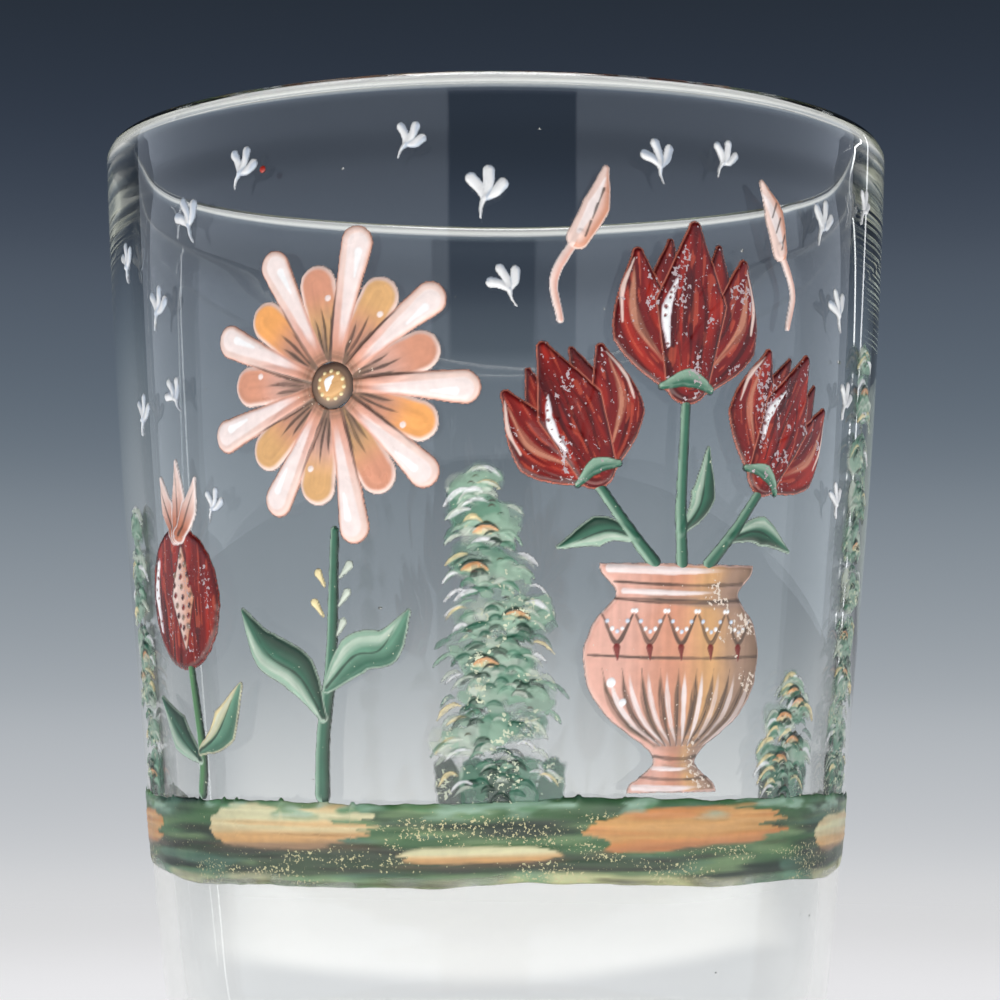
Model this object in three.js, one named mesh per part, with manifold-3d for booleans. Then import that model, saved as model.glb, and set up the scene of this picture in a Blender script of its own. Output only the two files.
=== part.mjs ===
// Enamelled glass tumbler. Millimetres, +Z up, origin at the centre of the foot, the painted front faces -Y.
// One free-blown glass body, and the fired enamel deposits that stand on its outside as thin raised solids.
import * as THREE from "three";
import { mergeVertices } from "three/addons/utils/BufferGeometryUtils.js";
import Module from "manifold-3d";

const wasm = await Module();
wasm.setup();

// ---------- driving dimensions ----------
const HEIGHT = 111; // foot to rim
const DESIGN_LIFT = 6; // the design's heights are counted from this far above the foot
const SEGMENTS = 64; // facets round the glass
const RIM_BULGE_Z = 109.5; // widest height of the fire-polished rim
const REF_RADIUS = 45; // the enamel is laid out flat as arc length at this radius
const ENAMEL_GAP = 0.08; // modelling gap between glass and enamel
const ENAMEL_THICK = 0.4; // raised enamel
const MAX_ARC_EDGE = 3.2; // longest arc edge in an enamel facet
const MAX_RISE_EDGE = 13; // longest upright edge in an enamel facet

// outer wall: height, radius
const OUTER = [
  [2.9, 35.75], [7.2, 36.45], [13.9, 37.44], [23.0, 38.5], [35.9, 39.71], [50.7, 41.04],
  [65.4, 42.38], [78.0, 43.37], [90.0, 44.11], [102.1, 44.72], [RIM_BULGE_Z, 45.0],
];
// rounded rim from outside to inside
const RIM = [[110.4, 44.62], [HEIGHT, 43.65], [110.5, 42.6], [109.4, 42.12]];
// inner wall going down, then the rounded corner and the nearly flat floor
const INNER = [
  [106.0, 42.1], [100.0, 42.2], [92.0, 41.95], [78.0, 41.08], [62.0, 39.75],
  [46.0, 38.3], [34.0, 37.2], [23.0, 36.15], [15.0, 35.2], [9.5, 34.1],
  [6.4, 32.2], [5.0, 29.0], [4.5, 24.0], [4.3, 14.0], [4.3, 0],
];
// foot: polished pontil hollow in the middle, flat resting ring, rounded heel
const FOOT = [[1.2, 0], [0.9, 6.5], [0, 11.5], [0, 33.6], [0.6, 35.0]];

// outer radius at a height
function outerRadius(z) {
  const p = OUTER;
  if (z <= p[0][0]) return p[0][1];
  for (let i = 1; i < p.length; i++)
    if (z <= p[i][0]) {
      const t = (z - p[i - 1][0]) / (p[i][0] - p[i - 1][0]);
      return p[i - 1][1] + t * (p[i][1] - p[i - 1][1]);
    }
  return p[p.length - 1][1];
}

// ---------- glass ----------
function glassGeometry() {
  const profile = [...FOOT, ...OUTER, ...RIM, ...INNER].map(([z, r]) => new THREE.Vector2(r, z));
  const g = new THREE.LatheGeometry(profile, SEGMENTS);
  g.rotateX(Math.PI / 2);
  return g;
}

// ---------- flat outlines: [arc, height] ----------
// a ribbon along control points with half-widths, rounded at the ends that are wide
function ribbon(points, halves, steps = 6) {
  const curve = new THREE.SplineCurve(points.map(([a, z]) => new THREE.Vector2(a, z)));
  const half = (t) => {
    const s = t * (halves.length - 1), i = Math.min(halves.length - 2, Math.floor(s)), f = s - i;
    return halves[i] * (1 - f) + halves[i + 1] * f;
  };
  const right = [], left = [];
  for (let i = 0; i <= steps; i++) {
    const t = i / steps, p = curve.getPoint(t), d = curve.getTangent(t), h = half(t);
    left.push([p.x - d.y * h, p.y + d.x * h]);
    right.push([p.x + d.y * h, p.y - d.x * h]);
  }
  const cap = (t, sign) => {
    const p = curve.getPoint(t), d = curve.getTangent(t), h = half(t);
    return (h > 1.2 ? [-0.8, 0, 0.8] : [0]).map((k) => {
      const c = Math.cos(k), q = Math.sin(k);
      return [p.x + sign * (d.x * c - d.y * q) * h, p.y + sign * (d.y * c + d.x * q) * h];
    });
  };
  return [...right, ...cap(1, 1), ...left.reverse(), ...cap(0, -1)];
}
// a long bar pointing away from a centre, wider and round at its far end
const bar = (cx, cz, deg, r0, r1, w0, w1) => {
  const a = (deg * Math.PI) / 180, dx = Math.sin(a), dz = Math.cos(a);
  return ribbon([[cx + dx * r0, cz + dz * r0], [cx + dx * r1, cz + dz * r1]], [w0, w1], 1);
};
// an ellipse, turned, with a gentle wobble of its edge
function blob(cx, cz, rx, rz, deg = 0, n = 16, wobble = 0, phase = 0) {
  const out = [], t = (deg * Math.PI) / 180;
  for (let i = 0; i < n; i++) {
    const q = (i / n) * 2 * Math.PI, k = 1 + wobble * Math.sin(3 * q + phase) + wobble * 0.6 * Math.sin(5 * q + 2 * phase);
    const x = rx * Math.cos(q) * k, y = rz * Math.sin(q) * k;
    out.push([cx + x * Math.cos(t) - y * Math.sin(t), cz + x * Math.sin(t) + y * Math.cos(t)]);
  }
  return out;
}
// a comma stroke: round head and pointed tail
function comma(cx, cz, deg, length, half) {
  const a = (deg * Math.PI) / 180, dx = Math.sin(a), dz = Math.cos(a), nx = dz, nz = -dx;
  return ribbon([[cx, cz], [cx + (dx * length) / 2 + nx * half * 0.35, cz + (dz * length) / 2 + nz * half * 0.35], [cx + dx * length, cz + dz * length]], [half, half * 0.9, half * 0.2], 2);
}

// ---------- outlines to solids on the wall ----------
function plate(outline, thick = ENAMEL_THICK) {
  const g = new THREE.ExtrudeGeometry(new THREE.Shape(outline.map(([a, z]) => new THREE.Vector2(a, z))), { depth: thick, bevelEnabled: false, steps: 1 });
  g.deleteAttribute("normal");
  g.deleteAttribute("uv");
  const m = mergeVertices(g, 1e-4);
  return new wasm.Manifold(new wasm.Mesh({ numProp: 3, vertProperties: m.attributes.position.array, triVerts: new Uint32Array(m.index.array) }));
}
// splits every edge longer than the limits, the same way in both faces that share it
function refined(verts, tris) {
  for (let pass = 0; pass < 12; pass++) {
    const middle = new Map();
    const long = (i, j) => Math.abs(verts[i][0] - verts[j][0]) > MAX_ARC_EDGE || Math.abs(verts[i][1] - verts[j][1]) > MAX_RISE_EDGE;
    const mid = (i, j) => {
      if (!long(i, j)) return -1;
      const key = i < j ? i + "_" + j : j + "_" + i;
      if (!middle.has(key)) {
        middle.set(key, verts.length);
        verts.push([0, 1, 2].map((k) => (verts[i][k] + verts[j][k]) / 2));
      }
      return middle.get(key);
    };
    const next = [];
    let cut = false;
    for (let [a, b, c] of tris) {
      let ab = mid(a, b), bc = mid(b, c), ca = mid(c, a);
      const n = (ab >= 0) + (bc >= 0) + (ca >= 0);
      if (!n) { next.push([a, b, c]); continue; }
      cut = true;
      if (n === 3) { next.push([a, ab, ca], [ab, b, bc], [ca, bc, c], [ab, bc, ca]); continue; }
      // turn the triangle so that ab is cut, and where two are cut, ab and bc are
      while (!(n === 1 ? ab >= 0 : ab >= 0 && bc >= 0)) {
        [a, b, c] = [b, c, a];
        [ab, bc, ca] = [bc, ca, ab];
      }
      if (n === 1) next.push([a, ab, c], [ab, b, c]);
      else next.push([ab, b, bc], [a, ab, bc], [a, bc, c]);
    }
    tris = next;
    if (!cut) break;
  }
  return { verts, tris };
}
function onWall(solid) {
  const m = solid.getMesh(), n = m.numProp, verts = [], tris = [];
  for (let i = 0; i < m.numVert; i++) verts.push([...m.vertProperties.subarray(i * n, i * n + 3)]);
  for (let i = 0; i < m.triVerts.length; i += 3) tris.push([...m.triVerts.subarray(i, i + 3)]);
  const r = refined(verts, tris), pos = new Float32Array(r.verts.length * 3);
  r.verts.forEach(([a, z, t], i) => {
    const th = a / REF_RADIUS, up = z + DESIGN_LIFT, rad = outerRadius(up) + ENAMEL_GAP + t;
    pos.set([rad * Math.sin(th), -rad * Math.cos(th), up], i * 3);
  });
  return new THREE.BufferGeometry().setAttribute("position", new THREE.BufferAttribute(pos, 3)).setIndex(r.tris.flat());
}
// unions the outlines and trims what would run into the ground band
const FOOTING = [[-200, 0], [200, 0], [200, 32.25], [-200, 32.25]];
const joined = (outlines) => outlines.map((o) => plate(o)).reduce((x, y) => x.add(y)).subtract(plate(FOOTING, 2).translate([0, 0, -0.5]));
const cutBy = (solid, outlines) => outlines.reduce((x, o) => x.subtract(plate(o, 2).translate([0, 0, -0.5])), solid);

// ground band round the glass, a ring with a wavy lower edge
const BAND_TOP = 31.5, BAND_LOW = 23.0, BAND_SEGMENTS = 80;
const bandTop = (th) => BAND_TOP + 0.25 * Math.sin(3 * th + 0.4) + 0.18 * Math.sin(7 * th);
const bandLow = (th) => BAND_LOW + 0.35 * Math.sin(4 * th + 1.1) + 0.22 * Math.sin(9 * th + 0.3);
function bandGeometry() {
  const pos = [], index = [], rows = [[0, 0], [0, 1], [0, 2], [1, 2], [1, 1], [1, 0]];
  for (let i = 0; i < BAND_SEGMENTS; i++) {
    const th = (i / BAND_SEGMENTS) * 2 * Math.PI, hi = bandTop(th), lo = bandLow(th);
    for (const [out, level] of rows) {
      const z = DESIGN_LIFT + lo + ((hi - lo) * level) / 2, r = outerRadius(z) + ENAMEL_GAP + out * 0.45;
      pos.push(r * Math.sin(th), -r * Math.cos(th), z);
    }
  }
  const m = rows.length;
  for (let i = 0; i < BAND_SEGMENTS; i++)
    for (let k = 0; k < m; k++) {
      const a = i * m + k, b = i * m + ((k + 1) % m), c = ((i + 1) % BAND_SEGMENTS) * m + k, d = ((i + 1) % BAND_SEGMENTS) * m + ((k + 1) % m);
      index.push(a, b, d, a, d, c);
    }
  return new THREE.BufferGeometry().setAttribute("position", new THREE.Float32BufferAttribute(pos, 3)).setIndex(index);
}

// ---------- the painted design ----------
// star flower on the left: long pale bars with short ones between, and a domed centre
const STAR = { a: -17.5, z: 73.5, boss: 2.3 };
const starOutline = [];
for (let i = 0; i < 18; i++) {
  const [reach, half] = i % 2 ? [10.4, 2.1] : [[14.6, 13.6, 14.2, 13.2, 14.4, 13.4, 14.6, 13.8, 14.0][i / 2], 1.75];
  const at = (deg, r, side) => {
    const t = (deg * Math.PI) / 180;
    starOutline.push([STAR.a + r * Math.sin(t) + side * Math.cos(t), STAR.z + r * Math.cos(t) - side * Math.sin(t)]);
  };
  const deg = 12 + i * 20;
  at(deg - 10, 5.6, 0);
  at(deg, reach, -half);
  at(deg, reach + half * 0.7, -half * 0.7);
  at(deg, reach + half, 0);
  at(deg, reach + half * 0.7, half * 0.7);
  at(deg, reach, half);
}
starOutline.reverse();

// tulips: cup outline of three overlapping petals, turned about the calyx
function tulip(a, z, deg, s) {
  const turn = (deg * Math.PI) / 180, c = Math.cos(turn), sn = Math.sin(turn);
  const at = (pts) => pts.map(([x, y]) => [a + s * (x * c + y * sn), z + s * (-x * sn + y * c)]);
  return [
    at(ribbon([[0, 0.6], [-3.6, 4.2], [-4.6, 9.2]], [1.9, 2.9, 0.5])),
    at(ribbon([[0, 0.6], [3.6, 4.2], [4.6, 9.2]], [1.9, 2.9, 0.5])),
    at(ribbon([[0, 0.6], [0, 5.0], [0, 11.4]], [2.0, 3.1, 0.6])),
  ];
}
// urn outline on its own axis: height, half width
const URN = { a: 21, z: 31.9 };
const urnOutline = (() => {
  const half = [[0.2, 6.0], [1.6, 5.6], [2.7, 2.9], [4.2, 2.5], [5.8, 5.0], [8.0, 8.6], [11.0, 10.9], [14.6, 11.5], [17.8, 10.4], [20.0, 7.9], [21.2, 7.5], [22.2, 9.6], [23.6, 9.8]];
  return [...half.map(([z, h]) => [URN.a + h, URN.z + z]), ...half.reverse().map(([z, h]) => [URN.a - h, URN.z + z])];
})();

// fronds: rounded tufts one above the other, scalloped on both sides
function frond(list) {
  const right = [], left = [];
  list.forEach(([a, z, rx, rz], i) => {
    for (const [k, w] of [[-0.55, 0.86], [0.05, 1], [0.6, 0.7]]) {
      right.push([a + rx * w, z + rz * k]);
      left.push([a - rx * w, z + rz * (k + 0.08)]);
    }
    if (i === list.length - 1) right.push([a, z + rz]);
  });
  return joined([[...right, ...left.reverse()]]);
}
const bush = (list) => joined(list.map(([a, z, rx, rz], i) => blob(a, z, rx, rz, 0, 10, 0.05, i)));

const MOTIFS = {
  enamel_star_petals: () => cutBy(joined([starOutline]), [blob(STAR.a, STAR.z, STAR.boss + 0.3, STAR.boss + 0.3)]),
  enamel_star_boss: () => plate(blob(STAR.a, STAR.z, STAR.boss, STAR.boss)),
  enamel_star_stem: () => joined([
    ribbon([[-20.6, 31.6], [-20.2, 38], [-18.8, 46], [-17.8, 57.0]], [0.95, 0.75, 0.6, 0.5]),
    ribbon([[-20.0, 40], [-23.1, 44.5], [-27.6, 47.0], [-30.6, 51.0]], [0.6, 2.3, 2.2, 0.3]),
    ribbon([[-19.4, 43], [-15.6, 46.5], [-12.2, 47.2], [-9.6, 50.6]], [0.6, 2.1, 1.9, 0.3]),
  ]),
  enamel_left_fruit: () => joined([
    blob(-41.5, 52.5, 7.2, 7.6, 8, 22, 0.015),
    ribbon([[-41.8, 59.2], [-43.6, 62.4], [-44.6, 65.4]], [1.0, 1.3, 0.25], 3),
    ribbon([[-41.2, 59.2], [-40.9, 63.0], [-41.0, 67.0]], [1.0, 1.4, 0.25], 3),
    ribbon([[-40.6, 59.2], [-38.6, 62.2], [-37.4, 65.0]], [1.0, 1.3, 0.25], 3),
  ]),
  enamel_left_fruit_stem: () => joined([
    ribbon([[-40.0, 31.6], [-39.4, 36], [-40.6, 43.6]], [0.9, 0.8, 0.7]),
    ribbon([[-39.6, 35.4], [-44.0, 38.0], [-48.6, 42.0]], [0.5, 2.3, 0.3]),
    ribbon([[-39.5, 36.4], [-35.4, 38.6], [-31.6, 43.4]], [0.5, 2.2, 0.3]),
  ]),
  enamel_middle_frond: () => frond([
    [0.4, 34.2, 7.4, 2.4], [-0.4, 38.0, 6.9, 2.9], [0.6, 42.2, 7.1, 3.1], [-0.4, 46.6, 6.8, 3.2], [0.4, 51.0, 6.0, 3.2],
    [-0.8, 55.3, 4.9, 3.1], [-1.4, 59.5, 4.0, 2.9], [-1.8, 63.4, 2.7, 2.6],
  ]),
  enamel_left_frond: () => frond([
    [-54.5, 34.4, 3.8, 2.4], [-54.0, 38.6, 3.2, 2.7], [-55.0, 43.0, 3.6, 2.9], [-54.2, 47.6, 3.3, 3.0], [-54.9, 52.2, 3.0, 2.9], [-54.2, 56.6, 2.7, 2.8], [-54.0, 60.8, 2.1, 2.6],
  ]),
  enamel_right_frond: () => frond([
    [53.5, 34.6, 4.6, 2.6], [53.0, 39.0, 3.8, 2.9], [54.2, 43.8, 4.2, 3.1], [53.2, 48.8, 3.8, 3.1], [54.4, 53.8, 4.0, 3.2], [53.4, 58.9, 3.6, 3.2], [54.6, 64.0, 3.8, 3.2],
    [53.6, 69.0, 3.3, 3.1], [54.6, 73.8, 3.1, 3.0], [54.0, 78.4, 2.4, 2.7],
  ]),
  enamel_right_bush: () => bush([
    [38.4, 33.6, 4.8, 1.7], [36.6, 36.2, 3.2, 2.3], [40.6, 37.0, 3.4, 2.6], [37.2, 39.6, 2.6, 2.2], [40.8, 41.0, 2.5, 2.2], [39.0, 43.4, 2.0, 1.8],
  ]),
  enamel_urn: () => joined([urnOutline]),
  enamel_tulip_left: () => joined(tulip(10.8, 64.6, -26, 1.2)),
  enamel_tulip_middle: () => joined(tulip(20.8, 73.6, 2, 1.4)),
  enamel_tulip_right: () => joined(tulip(31.4, 64.6, 28, 1.25)),
  enamel_tulip_stem_left: () => joined([ribbon([[16.8, 56.6], [14.8, 58.6], [11.8, 62.0]], [0.75, 0.65, 0.5]), ribbon([[15.4, 58.0], [11.6, 58.8], [6.6, 57.0]], [0.4, 1.5, 0.2])]),
  enamel_tulip_stem_middle: () => joined([ribbon([[21.0, 56.6], [20.6, 62.0], [20.7, 70.2]], [0.75, 0.65, 0.5]), ribbon([[20.6, 58.6], [23.2, 62.0], [23.8, 67.4]], [0.4, 1.6, 0.2])]),
  enamel_tulip_stem_right: () => joined([ribbon([[25.2, 56.6], [27.4, 58.6], [30.4, 62.0]], [0.75, 0.65, 0.5]), ribbon([[27.0, 58.2], [31.6, 59.2], [36.6, 57.2]], [0.4, 1.6, 0.2])]),
  enamel_bud_stalk_left: () => joined([ribbon([[6.6, 79.8], [6.0, 84.0], [8.6, 88.4]], [0.35, 0.45, 0.5]), comma(8.4, 88.0, 22, 7.6, 1.5)]),
  enamel_bud_stalk_right: () => joined([ribbon([[34.6, 80.6], [35.2, 84.4], [32.8, 88.8]], [0.35, 0.45, 0.5]), comma(33.0, 88.4, -24, 7.4, 1.45)]),
};

// small white blossoms: arc, height, turn, size
const BLOSSOMS = [
  [-36.5, 91.5, -20, 1.0], [-43.5, 83.0, 15, 0.95], [-40.2, 73.5, -35, 0.85], [-48.5, 72.0, 10, 0.9], [-28.5, 96.0, 25, 0.9], [-51.5, 89.0, -10, 0.9],
  [-1.2, 91.8, 10, 1.05], [1.4, 82.6, -25, 0.9], [-9.2, 97.4, 30, 0.8], [17.2, 95.6, -15, 0.9], [24.6, 96.6, 20, 0.8], [40.2, 91.6, 15, 1.0],
  [44.6, 82.8, -20, 0.95], [47.2, 73.4, 20, 0.85], [46.4, 62.6, -10, 0.8], [50.6, 95.0, 25, 0.85], [-34.6, 61.6, 20, 0.75],
];
function blossom([a, z, deg, s]) {
  return joined([comma(a, z, deg - 42, 2.3 * s, 0.62 * s), comma(a, z, deg + 42, 2.3 * s, 0.62 * s), comma(a, z, deg, 2.7 * s, 0.6 * s), comma(a, z + 0.1, deg + 180, 1.9 * s, 0.55 * s)]);
}

// ---------- scene graph ----------
const paint = (color, roughness) => new THREE.MeshStandardMaterial({ color, roughness, metalness: 0 });
const COLOURS = {
  enamel_ground_band: paint(0x5d7a4c, 0.45),
  enamel_star_petals: paint(0xe6c9c0, 0.35),
  enamel_star_boss: paint(0x5a4a44, 0.3),
  enamel_star_stem: paint(0x4f7a63, 0.4),
  enamel_left_fruit: paint(0x8f2620, 0.35),
  enamel_left_fruit_stem: paint(0x5b7d62, 0.4),
  enamel_urn: paint(0xcf937a, 0.4),
  enamel_bud_stalk_left: paint(0xe3c6bb, 0.35),
  enamel_bud_stalk_right: paint(0xe3c6bb, 0.35),
};
const redEnamel = () => paint(0x86201f, 0.35), greenEnamel = () => paint(0x7fa894, 0.45), whiteEnamel = () => paint(0xe4e6ea, 0.3);

const tumbler = new THREE.Group();
const put = (name, geometry, material) => {
  const mesh = new THREE.Mesh(geometry, material);
  mesh.name = name;
  return mesh;
};
tumbler.add(put("glass_body", glassGeometry(), new THREE.MeshStandardMaterial({ color: 0xdfe6e6, roughness: 0.03, metalness: 0, transparent: true, opacity: 0.35 })));
const decoration = new THREE.Group();
tumbler.add(decoration);
decoration.add(put("enamel_ground_band", bandGeometry(), COLOURS.enamel_ground_band));
for (const [name, make] of Object.entries(MOTIFS))
  decoration.add(put(name, onWall(make()), COLOURS[name] || (name.includes("tulip") && !name.includes("stem") ? redEnamel() : greenEnamel())));
BLOSSOMS.forEach((b, i) => decoration.add(put("enamel_white_blossom_" + String(i + 1).padStart(2, "0"), onWall(blossom(b)), whiteEnamel())));

export default tumbler;
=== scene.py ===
import math

import bpy
import numpy as np
from mathutils import Euler, Matrix, Vector


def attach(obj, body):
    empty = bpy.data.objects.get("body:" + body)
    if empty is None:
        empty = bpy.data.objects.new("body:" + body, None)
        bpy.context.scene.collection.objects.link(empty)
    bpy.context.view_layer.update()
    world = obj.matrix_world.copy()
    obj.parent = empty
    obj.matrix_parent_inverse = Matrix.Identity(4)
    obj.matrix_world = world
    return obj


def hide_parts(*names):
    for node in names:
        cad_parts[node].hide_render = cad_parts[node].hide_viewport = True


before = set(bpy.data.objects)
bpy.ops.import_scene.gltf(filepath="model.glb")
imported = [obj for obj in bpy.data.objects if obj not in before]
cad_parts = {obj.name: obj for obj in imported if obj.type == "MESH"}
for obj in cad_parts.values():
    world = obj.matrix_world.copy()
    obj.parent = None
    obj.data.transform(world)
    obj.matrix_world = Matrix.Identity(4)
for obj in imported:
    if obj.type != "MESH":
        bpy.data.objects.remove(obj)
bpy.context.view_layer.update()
MM = 0.001
HEIGHT, REF = 111.0, 45.0
LIFT = 6.0  # the design's heights are counted from this far above the foot

# ------------------------------------------------------------------ camera
# the picture is taken from close by, a little above the ground band and tilted up, with the foot below its lower edge
cam_data = bpy.data.cameras.new("camera")
cam_data.lens, cam_data.sensor_width = 96.76, 36.0
cam_data.clip_start, cam_data.clip_end = 0.01, 20.0
camera = bpy.data.objects.new("camera", cam_data)
camera.location = (0.0, -0.3105, 0.04806)
camera.rotation_euler = Euler((math.radians(90 + 4.19), math.radians(0.06), math.radians(-0.078)), "XYZ")
bpy.context.scene.collection.objects.link(camera)
bpy.context.scene.camera = camera


# ------------------------------------------------------------------ noise and colour
def hashed(ix, iy, seed):
    h = (ix * 374761393 + iy * 668265263 + int(seed) * 144269504 + 12345) & 0xFFFFFFFF
    h = ((h ^ (h >> 13)) * 1274126177) & 0xFFFFFFFF
    return ((h ^ (h >> 16)) & 0xFFFFFF) / float(0xFFFFFF)


def noise(x, y, seed=0):
    """smooth value noise, 0 to 1"""
    x, y = np.broadcast_arrays(np.asarray(x, float), np.asarray(y, float))
    x0, y0 = np.floor(x), np.floor(y)
    fx, fy = x - x0, y - y0
    u, v = fx * fx * (3 - 2 * fx), fy * fy * (3 - 2 * fy)
    ix, iy = x0.astype(np.int64), y0.astype(np.int64)
    a, b = hashed(ix, iy, seed), hashed(ix + 1, iy, seed)
    c, d = hashed(ix, iy + 1, seed), hashed(ix + 1, iy + 1, seed)
    return (a * (1 - u) + b * u) * (1 - v) + (c * (1 - u) + d * u) * v


def fbm(x, y, seed=0, octaves=3):
    total, size, norm = 0.0, 1.0, 0.0
    for k in range(octaves):
        total = total + size * noise(np.asarray(x) * 2**k + 17.3 * k, np.asarray(y) * 2**k - 9.1 * k, seed + 31 * k)
        norm += size
        size *= 0.5
    return total / norm


def smooth(lo, hi, x):
    t = np.clip((x - lo) / (hi - lo), 0, 1)
    return t * t * (3 - 2 * t)


def lin(rgb):
    """0 to 255 display colour to linear"""
    c = np.asarray(rgb, float) / 255.0
    return np.where(c <= 0.04045, c / 12.92, ((c + 0.055) / 1.055) ** 2.4)


# ------------------------------------------------------------------ the glass surface
OUTER = [(2.9, 35.75), (7.2, 36.45), (13.9, 37.44), (23.0, 38.5), (35.9, 39.71), (50.7, 41.04), (65.4, 42.38), (78.0, 43.37), (90.0, 44.11), (102.1, 44.72), (107.2, 44.93), (109.5, 45.0)]
RIM = [(110.4, 44.62), (110.86, 44.2), (111.0, 43.62), (110.86, 43.05), (110.4, 42.5), (109.4, 42.12)]
INNER = [(106.0, 42.1), (100.0, 42.2), (92.0, 41.95), (78.0, 41.08), (62.0, 39.75), (46.0, 38.3), (34.0, 37.2), (23.0, 36.15), (15.0, 35.2), (9.5, 34.1), (6.4, 32.2), (5.0, 29.0), (4.5, 24.0), (4.3, 14.0), (4.3, 0.0)]


def through(points, per, start=None, end=None):
    """a smooth line through (z, r) points, centripetal, with about one sample each `per` mm"""
    p = [np.array([r, z], float) for z, r in points]
    first = p[0] + (p[0] - p[1]) if start is None else p[0] - np.array(start, float)
    last = p[-1] + (p[-1] - p[-2]) if end is None else p[-1] + np.array(end, float)
    p = [first] + p + [last]
    out = []
    for i in range(1, len(p) - 2):
        p0, p1, p2, p3 = p[i - 1], p[i], p[i + 1], p[i + 2]
        k = [0.0]
        for a, b in ((p0, p1), (p1, p2), (p2, p3)):
            k.append(k[-1] + math.sqrt(max(np.linalg.norm(b - a), 1e-6)))
        n = max(2, int(math.ceil(np.linalg.norm(p2 - p1) / per)))
        for j in range(n):
            t = k[1] + (k[2] - k[1]) * j / n
            a1 = p0 * (k[1] - t) / (k[1] - k[0]) + p1 * (t - k[0]) / (k[1] - k[0])
            a2 = p1 * (k[2] - t) / (k[2] - k[1]) + p2 * (t - k[1]) / (k[2] - k[1])
            a3 = p2 * (k[3] - t) / (k[3] - k[2]) + p3 * (t - k[2]) / (k[3] - k[2])
            b1 = a1 * (k[2] - t) / (k[2] - k[0]) + a2 * (t - k[0]) / (k[2] - k[0])
            b2 = a2 * (k[3] - t) / (k[3] - k[1]) + a3 * (t - k[1]) / (k[3] - k[1])
            out.append(b1 * (k[2] - t) / (k[2] - k[1]) + b2 * (t - k[1]) / (k[2] - k[1]))
    out.append(p[-2])
    return np.array(out)


wall = through([(0.0, 33.6), (0.6, 35.0)] + OUTER, 1.1, start=(1.4, 0))
rim = through([OUTER[-1]] + RIM, 0.16, start=(0.0, 0.8), end=(-0.02, -0.8))
inside = through([RIM[-1]] + INNER, 1.1, start=(0.02, -0.8), end=(-3, 0))
OUT_Z, OUT_R = wall[4:, 1], wall[4:, 0]


def uneven(th, z):
    """how far the outside of the hand-blown wall strays from the round, in mm"""
    return 0.045 * np.sin(2 * th + 0.7 + 0.02 * z) + 0.03 * np.sin(3 * th - 1.1 - 0.03 * z) + 0.016 * np.sin(5 * th + 0.05 * z + 2.0)


def uneven_inside(th, z):
    return 0.07 * np.sin(2 * th - 0.4 + 0.015 * z) + 0.05 * np.sin(3 * th + 1.9 + 0.025 * z) + 0.02 * np.sin(6 * th - 0.08 * z)


def radius(th, z):
    """the outside of the glass, in mm, at an angle from the front and a height"""
    return np.interp(z, OUT_Z, OUT_R) + uneven(th, z)


# ------------------------------------------------------------------ enamel: painted in a flat frame, then laid on the wall
BRIM = 0.05  # how far past its own edge, in mm, a stroke's mesh runs on, just under the glass


class Sheet:
    """One deposit of enamel on a fine grid: arc (mm at the reference radius) by height (mm)."""

    def __init__(self, a0, a1, z0, z1, q):
        self.q, self.a0, self.z0 = q, a0, z0
        self.na, self.nz = int(round((a1 - a0) / q)) + 1, int(round((z1 - z0) / q)) + 1
        self.A, self.Z = np.meshgrid(a0 + q * np.arange(self.na), z0 + q * np.arange(self.nz))
        self.cover = np.full(self.A.shape, -1.0)
        self.h = np.zeros(self.A.shape)
        self.rgb = np.zeros(self.A.shape + (3,))
        self.al = np.zeros(self.A.shape)
        self.wear = np.zeros(self.A.shape)

    def window(self, lo, hi, pad):
        i0 = max(0, int((lo[0] - pad - self.a0) / self.q))
        i1 = min(self.na, int((hi[0] + pad - self.a0) / self.q) + 2)
        j0 = max(0, int((lo[1] - pad - self.z0) / self.q))
        j1 = min(self.nz, int((hi[1] + pad - self.z0) / self.q) + 2)
        return (slice(j0, max(j0, j1)), slice(i0, max(i0, i1)))


def spline2(points, step):
    """points along a smooth open line"""
    p = np.array(points, float)
    if len(p) == 2:
        n = max(2, int(np.linalg.norm(p[1] - p[0]) / step))
        return p[0] + (p[1] - p[0]) * np.linspace(0, 1, n + 1)[:, None]
    e = np.vstack([2 * p[0] - p[1], p, 2 * p[-1] - p[-2]])
    out = []
    for i in range(1, len(e) - 2):
        n = max(2, int(math.ceil(np.linalg.norm(e[i + 1] - e[i]) / step)))
        t = (np.arange(n) / n)[:, None]
        a, b, c, d = e[i - 1], e[i], e[i + 1], e[i + 2]
        out.append(0.5 * (2 * b + (c - a) * t + (2 * a - 5 * b + 4 * c - d) * t**2 + (3 * b - a - 3 * c + d) * t**3))
    return np.vstack(out + [p[-1:]])


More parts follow.
